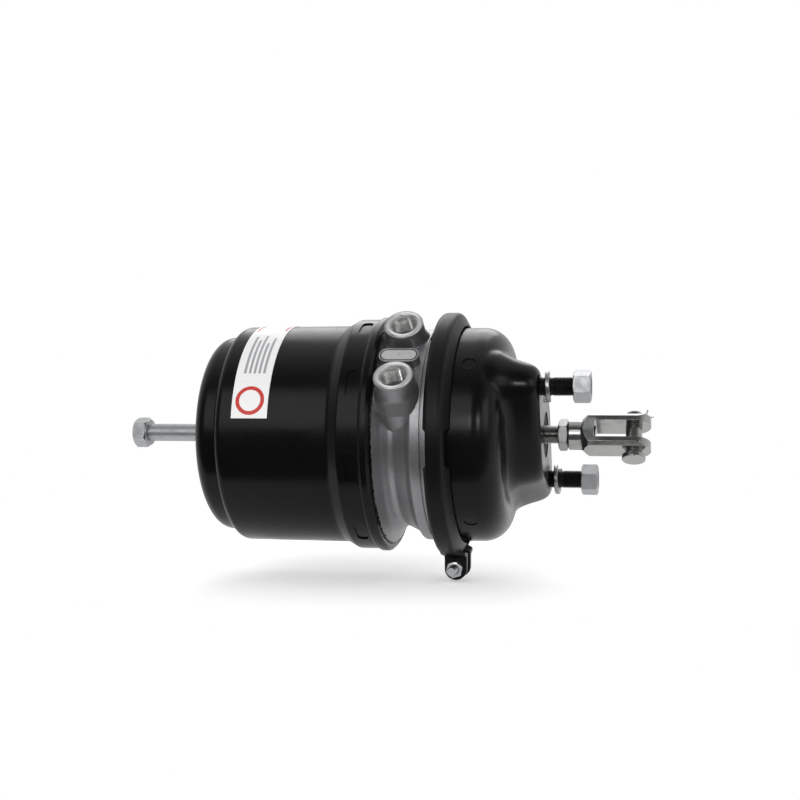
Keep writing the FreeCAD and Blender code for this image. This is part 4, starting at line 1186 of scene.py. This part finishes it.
@dataclass
class ClampBand(SubAssembly):
    """Clamp band with its bolt and nut."""

    bolt_x: float = -77.6
    bolt_z: float = -117.0
    bolt_radius: float = 4.0
    flats: float = 13.0
    head_height: float = 5.3
    nut_height: float = 6.8
    grip: float = 12.15
    end: float = 33.0
    pitch: float = 1.25

    def build(self) -> None:
        """Dresses the band and makes its bolt and nut."""
        self.dress(BAND_PAINT, "clamp_band")
        place = Matrix.Translation(Vector((self.bolt_x, 0.0, self.bolt_z))) @ Matrix.Rotation(-math.pi / 2, 4, "Z")
        head = Hexagon(self.flats, -self.grip - self.head_height, -self.grip, 0.0).points(place)
        shank = Turning(((-self.grip - 0.1, 0.01), (-self.grip - 0.1, self.bolt_radius),
                         (self.grip - 1.0, self.bolt_radius), (self.grip - 1.0, 0.01)), 48).points(place)
        thread = Thread("clamp_thread", self.grip - 1.2, self.end, self.bolt_radius, 0.65, self.pitch).points(place)
        tip = disc_cap(self.end, self.bolt_radius - 0.65, place)
        bolt = mesh_piece("clamp_bolt_body", *joined(head, shank, thread, tip), ZINC, Body.CHAMBER, 60.0)
        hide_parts("clamp_bolt")
        nut = Hexagon(self.flats, self.grip, self.grip + self.nut_height, self.bolt_radius + 0.05, 12.0)
        nut_piece = mesh_piece("clamp_nut_body", *nut.points(place), ZINC, Body.CHAMBER)
        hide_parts("clamp_nut")


@dataclass
class MountingHardware(SubAssembly):
    """Threaded studs, their nuts and lock washers."""

    roll_deg: float = 47.0
    circle: float = 120.7
    radius: float = 8.0
    core_radius: float = 7.75
    depth: float = 0.85
    pitch: float = 1.5
    reach: float = 42.0
    nut_height: float = 14.5
    flats: float = 24.0
    grip: float = 10.3
    nut_rolls: tuple[float, float] = (8.0, -6.0)

    def place(self, side: int) -> Matrix:
        """Frame of one stud.

        Args:
            side: +1 for the upper stud, -1 for the lower one.

        Returns:
            The frame in millimetres.
        """
        spot = rolled(self.roll_deg) @ Vector((0.0, 0.0, side * self.circle / 2))
        return Matrix.Translation(spot)

    def studs(self) -> None:
        """Makes both studs as one piece."""
        shapes = []
        nut_x = self.reach - self.nut_height
        for side in (1, -1):
            place = self.place(side)
            thin = self.core_radius
            valley = self.radius - self.depth
            shapes += [
                Turning(((-7.9, 0.01), (-7.9, 8.2), (-7.2, 8.9), (-3.1, 8.9), (-3.1, 0.01)), 48).points(place),
                Thread("stud_foot", -3.2, self.grip, thin, thin - valley, self.pitch).points(place),
                Thread("stud_middle", self.grip - 0.4, nut_x, self.radius, self.depth, self.pitch).points(place),
                Thread("stud_end", nut_x - 0.4, self.reach, thin, thin - valley, self.pitch).points(place),
                disc_cap(self.reach, valley, place),
            ]
        studs = mesh_piece("threaded_studs", *joined(*shapes), BLACK_STEEL, Body.CHAMBER, 60.0)
        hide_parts("mounting_studs")

    def nut(self, name: str, node: str, side: int, roll: float, body: Body) -> None:
        """Makes one mounting nut.

        Args:
            name: the piece's name.
            node: the CAD node that it stands for.
            side: +1 for the upper stud, -1 for the lower one.
            roll: its turn on the stud, in degrees.
            body: the body that it rides on.
        """
        nut = Hexagon(self.flats, self.reach - self.nut_height, self.reach, self.core_radius + 0.05, roll)
        piece = mesh_piece(name, *nut.points(self.place(side)), PALE_ZINC, body)
        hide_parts(node)

    def build(self) -> None:
        """Makes the studs and nuts, and dresses the washers."""
        self.studs()
        self.nut("nut_upper", "mounting_nut_upper", 1, self.nut_rolls[0], Body.UPPER_NUT)
        self.nut("nut_lower", "mounting_nut_lower", -1, self.nut_rolls[1], Body.LOWER_NUT)
        self.dress(SPRUNG_ZINC, "lock_washer_upper", "lock_washer_lower")


@dataclass
class PushRod(SubAssembly):
    """Threaded push rod with its plate, jam nut and clevis."""

    start_x: float = -86.4
    end_x: float = 36.0
    radius: float = 8.0
    depth: float = 0.9
    pitch: float = 1.5
    nut_x: float = 11.3
    nut_height: float = 8.0
    flats: float = 24.0
    nut_roll: float = 3.0

    def build(self) -> None:
        """Makes the rod and nut, and dresses the clevis and its pin."""
        place = Matrix()
        thread = Thread("rod_thread", self.start_x, self.end_x, self.radius, self.depth, self.pitch).points(place)
        valley = self.radius - self.depth
        rod = mesh_piece(
            "threaded_rod",
            *joined(thread, disc_cap(self.start_x, valley, place), disc_cap(self.end_x, valley, place)),
            ROD_ZINC, Body.PUSH_ROD, 60.0,
        )
        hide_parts("push_rod")
        nut = Hexagon(self.flats, self.nut_x, self.nut_x + self.nut_height, self.radius + 0.05, self.nut_roll)
        piece = mesh_piece("jam_nut_body", *nut.points(place), SPRUNG_ZINC, Body.PUSH_ROD)
        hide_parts("jam_nut")
        self.dress(CLEVIS_ZINC, "clevis", "clevis_pin")
        self.dress(ZINC, "push_plate")
        self.dress(BRIGHT, "cotter_pin")


@dataclass
class PowerPiston(SubAssembly):
    """Piston, tube and rings inside the spring cylinder."""

    def build(self) -> None:
        """Dresses the hidden pieces."""
        self.dress(CAST, "power_piston")
        self.dress(BRIGHT, "piston_tube")
        self.dress(RUBBER, "piston_lip_seal")
        self.dress(NYLON, "piston_guide_ring", "tube_thrust_cap")


def main(frame: dict[str, Any]) -> None:
    """Builds the stage and each sub-assembly in order.

    Args:
        frame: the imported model's bodies, nodes and joints.
    """
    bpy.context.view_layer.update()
    Studio().build()
    kinds = (SpringCylinder, ReleaseScrew, PowerPiston, FlangeBody, ServiceHousing, ClampBand, MountingHardware,
             PushRod)
    for kind in kinds:
        kind(frame).build()
        LOG.info("built %s", kind.__name__)


if __name__ == "__main__":
    logging.basicConfig(level=logging.INFO, format="%(name)s: %(message)s")
    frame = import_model()
    main(frame)
